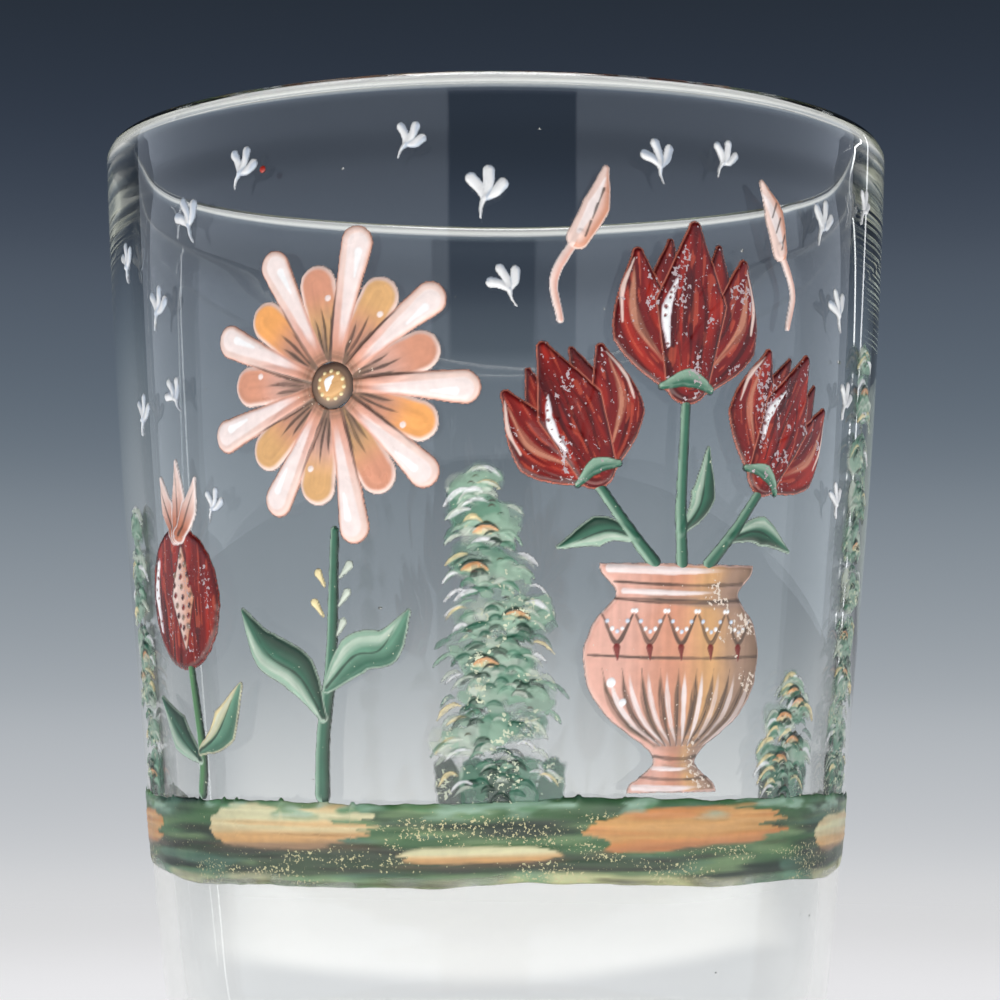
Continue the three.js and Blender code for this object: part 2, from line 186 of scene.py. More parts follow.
class Stroke:
    """One brush stroke read on a sheet: t from its start to its end, w across in mm (+ on its left), s along in mm, inset = mm inside its edge."""

    def __init__(self, sheet, points, halves):
        line = spline2(points, max(0.4, sheet.q * 2.5))
        halves = np.atleast_1d(np.array(halves, float))
        if len(halves) == 1:
            halves = np.repeat(halves, 2)
        self.win = sheet.window(line.min(0), line.max(0), float(halves.max()) + 0.4)
        A, Z = sheet.A[self.win], sheet.Z[self.win]
        seg = np.diff(line, axis=0)
        long = np.linalg.norm(seg, axis=1)
        run = np.concatenate([[0], np.cumsum(long)])
        best, self.s, self.w = np.full(A.shape, 1e9), np.zeros(A.shape), np.zeros(A.shape)
        for k in range(len(seg)):
            if long[k] < 1e-9:
                continue
            dx, dz = A - line[k, 0], Z - line[k, 1]
            u = np.clip((dx * seg[k, 0] + dz * seg[k, 1]) / long[k] ** 2, 0, 1)
            ex, ez = dx - u * seg[k, 0], dz - u * seg[k, 1]
            d = np.hypot(ex, ez)
            near = d < best
            best = np.where(near, d, best)
            self.s = np.where(near, run[k] + u * long[k], self.s)
            side = np.sign(seg[k, 0] * dz - seg[k, 1] * dx)
            self.w = np.where(near, side * d, self.w)
        self.length = run[-1]
        self.t = self.s / max(self.length, 1e-9)
        self.half = np.interp(self.t, np.linspace(0, 1, len(halves)), halves)
        self.inset = self.half - best
        self.k = np.clip(self.w / np.maximum(self.half, 0.05), -1, 1)
        self.A, self.Z = A, Z


class Patch:
    """A filled outline read on a sheet."""

    def __init__(self, sheet, outline):
        p = np.array(outline, float)
        self.win = sheet.window(p.min(0), p.max(0), 0.4)
        A, Z = sheet.A[self.win], sheet.Z[self.win]
        best, odd = np.full(A.shape, 1e9), np.zeros(A.shape, bool)
        for k in range(len(p)):
            x0, z0 = p[k]
            x1, z1 = p[(k + 1) % len(p)]
            dx, dz = x1 - x0, z1 - z0
            n = dx * dx + dz * dz
            if n < 1e-12:
                continue
            u = np.clip(((A - x0) * dx + (Z - z0) * dz) / n, 0, 1)
            best = np.minimum(best, np.hypot(A - x0 - u * dx, Z - z0 - u * dz))
            if abs(dz) > 1e-12:
                cross = ((z0 > Z) != (z1 > Z)) & (A < dx * (Z - z0) / dz + x0)
                odd ^= cross
        self.inset = np.where(odd, best, -best)
        self.A, self.Z = A, Z
        self.half = np.full(A.shape, 3.0)
        self.s, self.w = Z, A
        span = max(p[:, 1].max() - p[:, 1].min(), 1e-9)
        self.t = (Z - p[:, 1].min()) / span
        self.k = (A - A.mean()) / max(np.ptp(p[:, 0]) / 2, 1e-9)
        self.length = span


def lay(sheet, g, colour, strength=1.0, soft=0.07, thick=0.22, round_mm=0.6, streak=0.10, fine=3.2, along=0.22, seed=1, wobble=0.05, start=0.0, end=0.0, grow=True, wear=0.0, rise=0.75, edge=None, edge_mm=0.25, dry=0.0, pool=0.0, comb=0.0):
    """Lays one brush load over what is there: colour is one colour or a function of the stroke. dry lets the bristles skip, pool darkens the rim, comb draws them out across the stroke."""
    w = g.win
    if sheet.A[w].size == 0:
        return
    inset = g.inset + wobble * (fbm(g.A * 1.1, g.Z * 1.1, seed + 5, 2) - 0.5) * 2
    tint = colour(g) if callable(colour) else np.broadcast_to(np.asarray(colour, float), g.A.shape + (3,))
    if edge is not None:
        tint = tint + (np.asarray(edge, float) - tint) * (1 - smooth(edge_mm * 0.2, edge_mm * 1.25, inset))[..., None]
    if pool:
        tint = tint * (1 - pool * np.exp(-((np.maximum(inset, 0) / 0.2) ** 2)))[..., None]
    lines = noise(g.s * along + seed * 3.7, g.w * fine + seed * 1.3, seed) * 0.65 + noise(g.s * along * 2.3, g.w * fine * 2.1, seed + 9) * 0.35
    tint = tint * (1 + streak * 2 * (lines - 0.5))[..., None]
    low, soft = -BRIM if grow else -0.04, max(soft, 1.25 * sheet.q)
    amount = smooth(low, low + soft, inset) * (strength(g) if callable(strength) else strength)
    if start:
        amount = amount * smooth(0, start, g.t)
    if end:
        amount = amount * smooth(0, end, 1 - g.t)
    if dry:
        amount = amount * (1 - dry * smooth(0.42, 0.62, noise(g.s * along * 1.4 + 40, g.w * fine * 1.5 + seed, seed + 17)))
    if comb:
        teeth = noise(g.s * 2.6 + seed, g.k * 0.7, seed + 21)
        tint = tint * (1 + 0.5 * comb * (teeth - 0.5) * 2 * smooth(0.9, 0.3, g.k))[..., None]
        amount = amount * (1 - comb * smooth(0.4, 0.56, teeth) * smooth(0.75, -0.1, g.k))
    amount = np.clip(amount, 0, 1)
    below, here = sheet.al[w], sheet.rgb[w]
    out = below * (1 - amount) + amount
    keep = np.maximum(out, 1e-6)[..., None]
    sheet.rgb[w] = np.where(amount[..., None] > 0, (here * (below * (1 - amount))[..., None] + tint * amount[..., None]) / keep, here)
    sheet.al[w] = out
    k = np.clip(inset / np.minimum(np.maximum(g.half, 0.12), round_mm), 0, 1)
    body = thick * (1 - (1 - k) ** 2) * (0.9 + 0.2 * lines)
    body = body * np.clip(amount * 1.4, 0, 1)
    sheet.h[w] = np.where(inset > 0, np.maximum(sheet.h[w], sheet.h[w] * rise + body), sheet.h[w])
    if grow:
        sheet.cover[w] = np.maximum(sheet.cover[w], inset)
    if wear:
        sheet.wear[w] = np.maximum(sheet.wear[w], wear * amount)


def dot(sheet, a, z, r, colour, thick=0.12, seed=1, **more):
    """a round touch of the brush's tip"""
    lay(sheet, Stroke(sheet, [(a - r * 0.12, z - r * 0.05), (a + r * 0.12, z + r * 0.05)], [r, r * 0.94]), colour, thick=thick, round_mm=r * 0.9, seed=seed, wobble=0.03, **more)


def pits(sheet, line, across, count, seed, size=(0.12, 0.3), tone=None, deep=0.1):
    """small round bubbles burst in a thick stroke along a line, showing the colour beneath with a thin raised lip"""
    rng = np.random.default_rng(seed)
    path = spline2(line, 0.2)
    taken = []
    for _ in range(count * 6):
        if len(taken) >= count:
            break
        p = path[int(rng.integers(0, len(path)))]
        a, z = p[0] + rng.uniform(-1, 1) * across, p[1] + rng.uniform(-1, 1) * across
        r = rng.uniform(*size)
        if any(math.hypot(a - x, z - y) < r + s + 0.06 for x, y, s in taken):
            continue
        taken.append((a, z, r))
        win = sheet.window((a, z), (a, z), r * 2.2)
        d = np.hypot(sheet.A[win] - a, sheet.Z[win] - z) / r
        hole = smooth(1.0, 0.78, d)
        ring = np.exp(-((d - 1.12) ** 2) / 0.03)
        sheet.h[win] = np.maximum(sheet.h[win] - deep * hole, 0.02) + 0.02 * ring
        if tone is not None:
            sheet.rgb[win] = sheet.rgb[win] + (np.asarray(tone) - sheet.rgb[win]) * (0.9 * hole)[..., None]


# marching squares: polygons of one cell, by which of its corners are in the enamel; 0 to 3 are corners, 4 to 7 the cuts on its bottom, right, top and left
CASES = {
    1: [[0, 4, 7]], 2: [[4, 1, 5]], 3: [[0, 1, 5, 7]], 4: [[5, 2, 6]], 5: [[0, 4, 7], [5, 2, 6]], 6: [[4, 1, 2, 6]], 7: [[0, 1, 2, 6, 7]],
    8: [[7, 6, 3]], 9: [[0, 4, 6, 3]], 10: [[4, 1, 5], [7, 6, 3]], 11: [[0, 1, 5, 6, 3]], 12: [[7, 5, 2, 3]], 13: [[0, 4, 5, 2, 3]], 14: [[4, 1, 2, 3, 7]], 15: [[0, 1, 2, 3]],
}
SINK = 0.1  # how deep, in mm, the underside of the enamel lies in the glass it is fused to


def lifted(cover, h):
    """the height of the enamel's face over the glass: it dips under the glass just past its own edge"""
    return np.where(cover > 0, np.maximum(h, 0.014 * smooth(0, 0.2, cover)), 0.5 * np.maximum(cover, -BRIM))


def solid_of(sheet):
    """The closed mesh of a sheet: (vertices in mm, faces above, below and round the edge, flat places, attributes)."""
    c = np.clip(sheet.cover + BRIM, -1, 1)
    nz, na = c.shape
    c[0, :] = c[-1, :] = c[:, 0] = c[:, -1] = -0.5
    c = np.where(np.abs(c) < 1e-4, -1e-4, c)
    inside_ = c > 0
    corner = np.arange(nz * na).reshape(nz, na)
    across = nz * na + np.arange(nz * (na - 1)).reshape(nz, na - 1)
    upward = nz * na + nz * (na - 1) + np.arange((nz - 1) * na).reshape(nz - 1, na)

    def cuts(c0, c1, v0, v1):
        u = np.clip(c0 / np.where(np.abs(c0 - c1) < 1e-9, 1e-9, c0 - c1), 0.04, 0.96)
        return v0 + (v1 - v0) * (u[..., None] if v0.ndim > u.ndim else u)

    def all_points(f):
        parts = [f.reshape(nz * na, -1)]
        parts.append(cuts(c[:, :-1], c[:, 1:], f[:, :-1], f[:, 1:]).reshape(nz * (na - 1), -1))
        parts.append(cuts(c[:-1], c[1:], f[:-1], f[1:]).reshape((nz - 1) * na, -1))
        return np.vstack(parts)

    # the colour just outside a stroke is that of its nearest painted neighbour, so that the rim keeps its colour
    rgb, al = sheet.rgb.copy(), sheet.al.copy()
    for _ in range(3):
        bare = al < 0.02
        wide = np.pad(rgb * (~bare)[..., None], ((1, 1), (1, 1), (0, 0)))
        count = np.pad((~bare).astype(float), 1)
        through = np.pad(al * ~bare, 1)
        total, hits, most = np.zeros_like(rgb), np.zeros_like(al), np.zeros_like(al)
        for dj in (0, 1, 2):
            for di in (0, 1, 2):
                total += wide[dj:dj + nz, di:di + na]
                hits += count[dj:dj + nz, di:di + na]
                most = np.maximum(most, through[dj:dj + nz, di:di + na])
        near = bare & (hits > 0)
        rgb = np.where(near[..., None], total / np.maximum(hits, 1)[..., None], rgb)
        al = np.where(near, np.maximum(most, 0.021), al)
    code = (inside_[:-1, :-1] * 1 + inside_[:-1, 1:] * 2 + inside_[1:, 1:] * 4 + inside_[1:, :-1] * 8).astype(int)
    faces, rims = [], []
    for k, polygons in CASES.items():
        jj, ii = np.nonzero(code == k)
        if not len(jj):
            continue
        ids = [corner[jj, ii], corner[jj, ii + 1], corner[jj + 1, ii + 1], corner[jj + 1, ii], across[jj, ii], upward[jj, ii + 1], across[jj + 1, ii], upward[jj, ii]]
        for polygon in polygons:
            faces.extend(np.stack([ids[m] for m in polygon], 1).tolist())
            for m, n in zip(polygon, polygon[1:] + polygon[:1]):
                if m > 3 and n > 3:
                    rims.append(np.stack([ids[m], ids[n]], 1))
    rims = np.vstack(rims)
    flat = np.concatenate([np.array(f) for f in faces])
    used, inverse = np.unique(flat, return_inverse=True)
    number = np.full(nz * na + nz * (na - 1) + (nz - 1) * na, -1)
    number[used] = np.arange(len(used))
    split = np.split(inverse, np.cumsum([len(f) for f in faces])[:-1])
    top = [f.tolist() for f in split]
    n = len(used)
    place = all_points(np.stack([sheet.A, sheet.Z], -1))[used]
    height = all_points(lifted(sheet.cover, sheet.h))[used][:, 0]
    rgb = all_points(rgb)[used]
    al = all_points(al)[used][:, 0]
    wear = all_points(sheet.wear)[used][:, 0]
    on_edge = np.zeros(n, bool)
    on_edge[np.unique(number[rims])] = True
    height = np.where(on_edge, -0.5 * BRIM, height)
    bottom = [[v + n for v in reversed(f)] for f in top]
    side = np.array([[number[b], number[a], number[a] + n, number[b] + n] for a, b in rims])
    a, z = np.tile(place[:, 0], 2), np.tile(place[:, 1], 2)
    t = np.concatenate([height, np.full(n, -SINK)])
    th = a / REF
    r = radius(th, z + LIFT) + t
    xyz = np.stack([r * np.sin(th), -r * np.cos(th), z + LIFT], 1)
    return xyz, top, bottom, side, place, {"paint": np.tile(rgb, (2, 1)), "cover": np.tile(al, 2), "wear": np.tile(wear, 2)}


def painted_mesh(name, xyz, faces, uv, at, material, nodes):
    """the mesh object of one piece of enamel, with its colours and its flat map"""
    mesh = bpy.data.meshes.new(name)
    mesh.from_pydata((xyz * MM).tolist(), [], faces)
    mesh.polygons.foreach_set("use_smooth", np.ones(len(mesh.polygons), bool))
    rgba = np.ones((len(xyz), 4), np.float32)
    rgba[:, :3] = np.clip(at["paint"], 0, 1)
    mesh.attributes.new("paint", "FLOAT_COLOR", "POINT").data.foreach_set("color", rgba.ravel())
    see = np.clip(at["cover"], 0, 1)
    mesh.attributes.new("body", "FLOAT", "POINT").data.foreach_set("value", (1 - np.sqrt(1 - np.minimum(see, 0.9999))).astype(np.float32))
    mesh.attributes.new("wear", "FLOAT", "POINT").data.foreach_set("value", at["wear"].astype(np.float32))
    uv = uv - uv.min(0) + 0.15
    layer = mesh.uv_layers.new(name="OFBake")
    layer.uv.foreach_set("vector", (uv / (uv.max() + 0.15)).astype(np.float32).ravel())
    mesh.materials.append(material)
    mesh.update()
    obj = bpy.data.objects.new(name, mesh)
    bpy.context.scene.collection.objects.link(obj)
    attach(obj, "root")
    if nodes:
        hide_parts(*nodes)
    return obj


def ribbons(lengths, width, y0):
    """places in mm for the narrow faces round an edge, laid end to end in rows"""
    lengths = np.maximum(lengths, 0.05)
    start = np.concatenate([[0], np.cumsum(lengths)[:-1]])
    row = (start // width).astype(int)
    x = start - row * width
    y = y0 + row * 0.3
    return np.stack([np.stack([x + lengths, y], -1), np.stack([x, y], -1), np.stack([x, y + 0.2], -1), np.stack([x + lengths, y + 0.2], -1)], 1).reshape(-1, 2)


def enamel(name, sheet, material, slot, *nodes):
    """Turns a sheet into one piece that stands for its CAD nodes."""
    xyz, top, bottom, side, place, at = solid_of(sheet)
    n = len(place)
    low, size_ = place.min(0), np.ptp(place, axis=0)
    uv_top = place[np.concatenate(top)] - low
    uv_low = (place[np.concatenate(bottom) - n] - low) * 0.3 + np.array([0, size_[1] + 0.4])
    lengths = np.linalg.norm(place[side[:, 0]] - place[side[:, 1]], axis=1)
    uv_side = ribbons(lengths, max(size_[0], 3.0), size_[1] * 1.3 + 0.8)
    return painted_mesh(name, xyz, top + bottom + side.tolist(), np.vstack([uv_top, uv_low, uv_side]), at, material, nodes)


# ------------------------------------------------------------------ materials
def nodes_of(name):
    m = bpy.data.materials.new(name)
    m.use_nodes = True
    m.node_tree.nodes.clear()
    return m, m.node_tree.nodes, m.node_tree.links


def enamel_material(name, rough=0.3, speck=(0.8, 0.78, 0.72), speck_scale=2300.0, bump=0.25, mottle_by=0.06):
    """Fired enamel: brushed colour from the strokes, fine mottle, pale crumbs where it is worn, and a slightly orange-peeled gloss."""
    m, nd, ln = nodes_of(name)
    out = nd.new("ShaderNodeOutputMaterial")
    bs = nd.new("ShaderNodeBsdfPrincipled")
    ln.new(bs.outputs[0], out.inputs[0])
    where = nd.new("ShaderNodeTexCoord")
    paint = nd.new("ShaderNodeAttribute"); paint.attribute_name = "paint"
    body = nd.new("ShaderNodeAttribute"); body.attribute_name = "body"
    wear = nd.new("ShaderNodeAttribute"); wear.attribute_name = "wear"
    # fine mottle of the pigment
    mottle = nd.new("ShaderNodeTexNoise"); mottle.inputs["Scale"].default_value = 900.0; mottle.inputs["Detail"].default_value = 4.0
    ln.new(where.outputs["Object"], mottle.inputs["Vector"])
    ramp = nd.new("ShaderNodeMapRange"); ramp.inputs["From Min"].default_value = 0.3; ramp.inputs["From Max"].default_value = 0.7
    ramp.inputs["To Min"].default_value = 1 - mottle_by; ramp.inputs["To Max"].default_value = 1 + mottle_by
    ln.new(mottle.outputs["Fac"], ramp.inputs["Value"])
    mul = nd.new("ShaderNodeVectorMath"); mul.operation = "SCALE"
    ln.new(paint.outputs["Color"], mul.inputs[0]); ln.new(ramp.outputs["Result"], mul.inputs["Scale"])
    # crumbs, in two sizes
    crumbs = nd.new("ShaderNodeTexNoise"); crumbs.inputs["Scale"].default_value = speck_scale; crumbs.inputs["Detail"].default_value = 2.5; crumbs.inputs["Roughness"].default_value = 0.62
    ln.new(where.outputs["Object"], crumbs.inputs["Vector"])
    level = nd.new("ShaderNodeMath"); level.operation = "MULTIPLY_ADD"; level.inputs[1].default_value = -0.25; level.inputs[2].default_value = 0.77
    ln.new(wear.outputs["Fac"], level.inputs[0])
    over = nd.new("ShaderNodeMath"); over.operation = "SUBTRACT"
    ln.new(crumbs.outputs["Fac"], over.inputs[0]); ln.new(level.outputs[0], over.inputs[1])
    hard = nd.new("ShaderNodeMapRange"); hard.inputs["From Min"].default_value = 0.0; hard.inputs["From Max"].default_value = 0.035
    ln.new(over.outputs[0], hard.inputs["Value"])
    gate = nd.new("ShaderNodeMath"); gate.operation = "MULTIPLY"; gate.use_clamp = True
    worn = nd.new("ShaderNodeMath"); worn.operation = "MULTIPLY"; worn.inputs[1].default_value = 6.0; worn.use_clamp = True
    ln.new(wear.outputs["Fac"], worn.inputs[0])
    ln.new(hard.outputs["Result"], gate.inputs[0]); ln.new(worn.outputs[0], gate.inputs[1])
    mix = nd.new("ShaderNodeMix"); mix.data_type = "RGBA"
    mix.inputs["B"].default_value = (*speck, 1)
    ln.new(gate.outputs[0], mix.inputs["Factor"]); ln.new(mul.outputs["Vector"], mix.inputs["A"])
    ln.new(mix.outputs["Result"], bs.inputs["Base Color"])
    # gloss
    gloss = nd.new("ShaderNodeTexNoise"); gloss.inputs["Scale"].default_value = 420.0
    ln.new(where.outputs["Object"], gloss.inputs["Vector"])
    rr = nd.new("ShaderNodeMapRange"); rr.inputs["To Min"].default_value = max(rough - 0.08, 0.05); rr.inputs["To Max"].default_value = rough + 0.14
    ln.new(gloss.outputs["Fac"], rr.inputs["Value"])
    ln.new(rr.outputs["Result"], bs.inputs["Roughness"])
    # relief finer than the mesh
    hill = nd.new("ShaderNodeMath"); hill.operation = "MULTIPLY_ADD"; hill.inputs[1].default_value = 0.5
    ln.new(gate.outputs[0], hill.inputs[0]); ln.new(mottle.outputs["Fac"], hill.inputs[2])
    bp = nd.new("ShaderNodeBump"); bp.inputs["Strength"].default_value = bump; bp.inputs["Distance"].default_value = 0.00008
    ln.new(hill.outputs[0], bp.inputs["Height"])
    ln.new(bp.outputs["Normal"], bs.inputs["Normal"])
    ln.new(body.outputs["Fac"], bs.inputs["Alpha"])
    bs.inputs["IOR"].default_value = 1.5
    return m


PALE_ENAMEL = enamel_material("enamel_pale", 0.28, speck=tuple(lin((206, 188, 172))), bump=0.16)
RED_ENAMEL = enamel_material("enamel_red", 0.22, speck=tuple(lin((176, 160, 166))), bump=0.22)
GREEN_ENAMEL = enamel_material("enamel_green", 0.34, speck=tuple(lin((206, 212, 186))), bump=0.22)
SALMON_ENAMEL = enamel_material("enamel_salmon", 0.32, speck=tuple(lin((214, 200, 188))), bump=0.22)
WHITE_ENAMEL = enamel_material("enamel_white", 0.25, speck=tuple(lin((170, 178, 192))), bump=0.14)
GROUND_ENAMEL = enamel_material("enamel_ground", 0.34, speck=tuple(lin((196, 190, 146))), speck_scale=3300.0, bump=0.24)

# palette, display values
PINKWHITE, PALE, PINK, SALMON, SALMON_D = lin((234, 222, 222)), lin((226, 200, 192)), lin((216, 166, 152)), lin((204, 142, 116)), lin((180, 110, 84))
MAUVE, BROWN, BROWN_D, OCHRE, ORANGE = lin((150, 124, 112)), lin((118, 94, 78)), lin((66, 50, 44)), lin((206, 160, 108)), lin((230, 160, 92))
RED, RED_D, RED_B = lin((112, 17, 16)), lin((64, 7, 12)), lin((152, 34, 22))
WHITE, BLUEW = lin((240, 242, 246)), lin((198, 210, 228))
TEAL, TEAL_L, MINT, MINTW, GREEN_D, GREEN, CREAM, OLIVE = lin((46, 98, 78)), lin((92, 138, 116)), lin((144, 176, 156)), lin((196, 206, 194)), lin((24, 54, 42)), lin((78, 128, 84)), lin((230, 214, 166)), lin((62, 62, 40))


def mixed(a, b, k):
    k = np.clip(k, 0, 1)[..., None]
    return np.asarray(a) * (1 - k) + np.asarray(b) * k


# ------------------------------------------------------------------ motifs
def q_of(fine):
    return fine * 1.0


def star_flower():
    ca, cz = -17.5, 73.5
    sh = Sheet(ca - 17, ca + 17, cz - 17, cz + 17, q_of(0.12))
    reach = [14.6, 13.6, 14.2, 13.2, 14.4, 13.4, 14.6, 13.8, 14.0]

    def at(deg, r, side=0.0):
        t = math.radians(deg)
        return (ca + r * math.sin(t) + side * math.cos(t), cz + r * math.cos(t) - side * math.sin(t))

    for i in range(9):  # short petals: salmon with ochre toward the tip, a mauve-brown wash out of the throat, a pale border
        deg = 32 + i * 40
        tone, tip = [(SALMON, OCHRE), (PINK, SALMON), (SALMON, ORANGE), (OCHRE, SALMON), (PINK, OCHRE)][i % 5]
        g = Stroke(sh, [at(deg, 1.6), at(deg + 1.5, 6.0), at(deg, 10.2)], [0.7, 1.95, 2.1])
        lay(sh, g, lambda g, tone=tone, tip=tip: mixed(tone, tip, smooth(0.45, 0.95, g.t)), thick=0.2, streak=0.12, fine=2.2, seed=20 + i, edge=PALE, edge_mm=0.5)
        g = Stroke(sh, [at(deg, 2.0), at(deg + 1.5, 5.4), at(deg, 8.8, -0.2)], [0.6, 1.5, 1.3])
        lay(sh, g, lambda g: mixed(BROWN, MAUVE, smooth(0.1, 0.8, g.t)), strength=lambda g: 0.92 * smooth(1.0, 0.25, g.t), soft=0.5, thick=0.03, streak=0.22, fine=2.6, seed=50 + i, grow=False, dry=0.5, wear=0.3)
        for k in (-0.9, 0.0, 0.9):
            g = Stroke(sh, [at(deg, 3.4, k * 0.4), at(deg + 1.5, 6.0, k * 0.9), at(deg, 8.4 - abs(k) * 1.3, k * 1.1)], [0.13, 0.22, 0.06])
            lay(sh, g, BROWN_D, strength=0.85, soft=0.1, thick=0.05, streak=0.1, seed=60 + i, grow=False, end=0.25, dry=0.25)
        if i % 2 == 0:
            dot(sh, *at(deg + 3, 8.8, 0.55), 0.34, PINKWHITE, thick=0.1, seed=i, grow=False, strength=0.85)
    # on each long petal the pink-white ridge and the white touch near the tip are painted highlights
    for i in range(9):  # long pale petals over them: pink at the sides, a white ridge, a thin brown shadow on one side
        deg = 12 + i * 40
        g = Stroke(sh, [at(deg, 1.6), at(deg - 1.0, 8.0), at(deg, reach[i])], [0.72, 1.2, 1.74])
        lay(sh, g, lambda g: mixed(SALMON, mixed(PINK, PALE, smooth(0.3, 0.8, g.t)), smooth(0.05, 0.4, g.t)), thick=0.24, streak=0.06, fine=1.8, seed=90 + i, edge=mixed(PINK, SALMON, np.array(0.5)), edge_mm=0.24, rise=0.5)
        g = Stroke(sh, [at(deg, 3.6, 0.25), at(deg - 0.6, 9.0, 0.3), at(deg, reach[i] - 0.1, 0.2)], [0.3, 0.75, 1.25])
        lay(sh, g, PINKWHITE, strength=0.82, soft=0.3, thick=0.09, streak=0.07, fine=1.8, seed=120 + i, grow=False, start=0.3)
        # a white touch near the tip: a painted highlight
        g = Stroke(sh, [at(deg, reach[i] - 3.4, 0.5), at(deg, reach[i] - 0.9, 0.45)], [0.2, 0.5])
        lay(sh, g, WHITE, strength=0.8, soft=0.25, thick=0.05, streak=0.03, seed=130 + i, grow=False)
        g = Stroke(sh, [at(deg, 2.4, -0.66), at(deg - 1.0, 7.5, -1.05), at(deg, 11.6, -1.36)], [0.22, 0.2, 0.06])
        lay(sh, g, BROWN_D, strength=0.9, soft=0.1, thick=0.04, seed=150 + i, grow=False, end=0.35, dry=0.3, wear=0.2)
    near = np.hypot(sh.A - ca, sh.Z - cz)
    throat = Stroke(sh, [(ca - 0.02, cz), (ca + 0.02, cz)], [4.6, 4.6])
    lay(sh, throat, BROWN, strength=lambda g: 0.8 * smooth(4.4, 2.4, 4.6 - g.inset), soft=0.3, thick=0.0, seed=7, grow=False, dry=0.35)
    sh.wear = np.maximum(sh.wear, 0.62 * smooth(8.0, 3.0, near) * smooth(0.5, 0.68, fbm(sh.A * 0.6, sh.Z * 0.6, 8)))
    sh.cover = np.minimum(sh.cover, near - 2.44)
    enamel("star_petals", sh, PALE_ENAMEL, "enamel_pale_pink", "enamel_star_petals")
    # domed centre: dark brown ring, ochre face, cream seeds, one white painted highlight
    sh = Sheet(ca - 3, ca + 3, cz - 3, cz + 3, q_of(0.08))
    dot(sh, ca, cz, 2.38, lambda g: mixed(BROWN_D, BROWN, smooth(0.1, 0.7, g.inset)), thick=0.34, seed=4)
    dot(sh, ca + 0.05, cz - 0.05, 1.66, lambda g: mixed(BROWN, OCHRE, smooth(0.0, 0.6, g.inset)), thick=0.1, seed=5, grow=False, rise=1.0)
    for i in range(11):
        t = i / 11 * 2 * math.pi
        dot(sh, ca + 1.42 * math.sin(t), cz + 1.42 * math.cos(t), 0.2, CREAM, thick=0.1, seed=i, grow=False, rise=1.0)
    lay(sh, Stroke(sh, [(ca - 0.45, cz - 0.5), (ca - 0.3, cz + 0.4), (ca + 0.2, cz + 0.85)], [0.14, 0.46, 0.16]), WHITE, strength=0.95, soft=0.1, thick=0.09, rise=1.0, grow=False)
    enamel("star_boss", sh, PALE_ENAMEL, "enamel_brown", "enamel_star_boss")


def leaf(sh, points, halves, seed, tones=(TEAL, MINT, GREEN_D), vein=True):
    """a leaf in two sweeps of the brush: dark below the vein as painted shade and light above it as a painted highlight
    """
    dark, light, deep = tones
    lay(sh, Stroke(sh, points, halves), lambda g: mixed(deep, mixed(dark, light, smooth(0.0, 0.85, g.k)), smooth(-0.75, 0.05, g.k)), thick=0.2, streak=0.2, fine=2.4, seed=seed, edge=mixed(light, MINTW, np.array(0.5)), edge_mm=0.2, wear=0.3)
    lay(sh, Stroke(sh, points, np.array(halves) * 0.7), lambda g: mixed(light, MINTW, smooth(0.0, 1.0, g.k)), strength=lambda g: 0.75 * smooth(0.05, 0.6, g.k), soft=0.2, thick=0.05, streak=0.1, seed=seed + 1, grow=False, dry=0.3, end=0.2)
    if vein:
        short = [points[0]] + [((points[i][0] * 0.9 + points[0][0] * 0.1), (points[i][1] * 0.9 + points[0][1] * 0.1)) for i in range(1, len(points))]
        lay(sh, Stroke(sh, short, [0.2, 0.16, 0.05]), GREEN_D * 0.7, strength=0.85, soft=0.1, thick=0.05, seed=seed + 3, grow=False, end=0.2)


# a stem: dark green on one side as painted shade and the light tone on the other as a painted highlight
def stem(sh, points, halves, seed, tone=TEAL, light=MINT):
    lay(sh, Stroke(sh, points, halves), lambda g: mixed(GREEN_D, mixed(tone, light, smooth(0.1, 0.9, g.k)), smooth(-0.9, -0.1, g.k)), thick=0.2, streak=0.16, seed=seed, wear=0.3)


def star_stem():
    sh = Sheet(-33, -7, 31.2, 60.5, q_of(0.14))
    stem(sh, [(-20.6, 32.2), (-20.2, 38), (-18.8, 46), (-17.8, 58.8)], [1.0, 0.8, 0.64, 0.5], 3)
    leaf(sh, [(-20.0, 40), (-23.1, 44.5), (-27.6, 47.0), (-30.6, 51.0)], [0.6, 2.3, 2.2, 0.3], 11)
    leaf(sh, [(-19.4, 43), (-15.6, 46.5), (-12.2, 47.2), (-9.6, 50.6)], [0.6, 2.1, 1.9, 0.3], 12, (TEAL_L, MINT, TEAL))
    for i, (x, z) in enumerate([(-17.2, 49.6), (-20.6, 51.6), (-16.6, 52.6), (-20.0, 54.6), (-16.2, 55.4)]):
        lay(sh, Stroke(sh, [(x * 0.5 - 9.3, z - 1.3), (x, z)], [0.14, 0.46]), [MINTW, CREAM][i % 2], thick=0.16, seed=30 + i)
    enamel("star_stem", sh, GREEN_ENAMEL, "enamel_green", "enamel_star_stem")


def ellipse(cx, cz, rx, rz, deg=0, n=48):
    t = np.linspace(0, 2 * math.pi, n, endpoint=False)
    d = math.radians(deg)
    x, z = rx * np.cos(t), rz * np.sin(t)
    return np.stack([cx + x * math.cos(d) - z * math.sin(d), cz + x * math.sin(d) + z * math.cos(d)], 1)


def red_body(seed, lean=0.0):
    """deep red in broad streaks: near black towards its edge, with brighter red streaks and orange flecks within"""
    def tone(g):
        x, y = g.w + lean * g.s, g.s
        col = mixed(RED_D, RED, smooth(0.0, 1.0, g.inset))
        col = mixed(col, RED_B, smooth(0.52, 0.78, fbm(x * 0.9, y * 0.14, seed, 2)) * smooth(0.25, 0.9, g.inset))
        col = mixed(col, RED_D, smooth(0.55, 0.75, fbm(x * 1.3 + 9, y * 0.12, seed + 3, 2)) * 0.85)
        return mixed(col, lin((196, 84, 60)), smooth(0.72, 0.8, noise(x * 3.4, y * 0.5, seed + 6)) * 0.45 * smooth(0.2, 0.7, g.inset))
    return tone


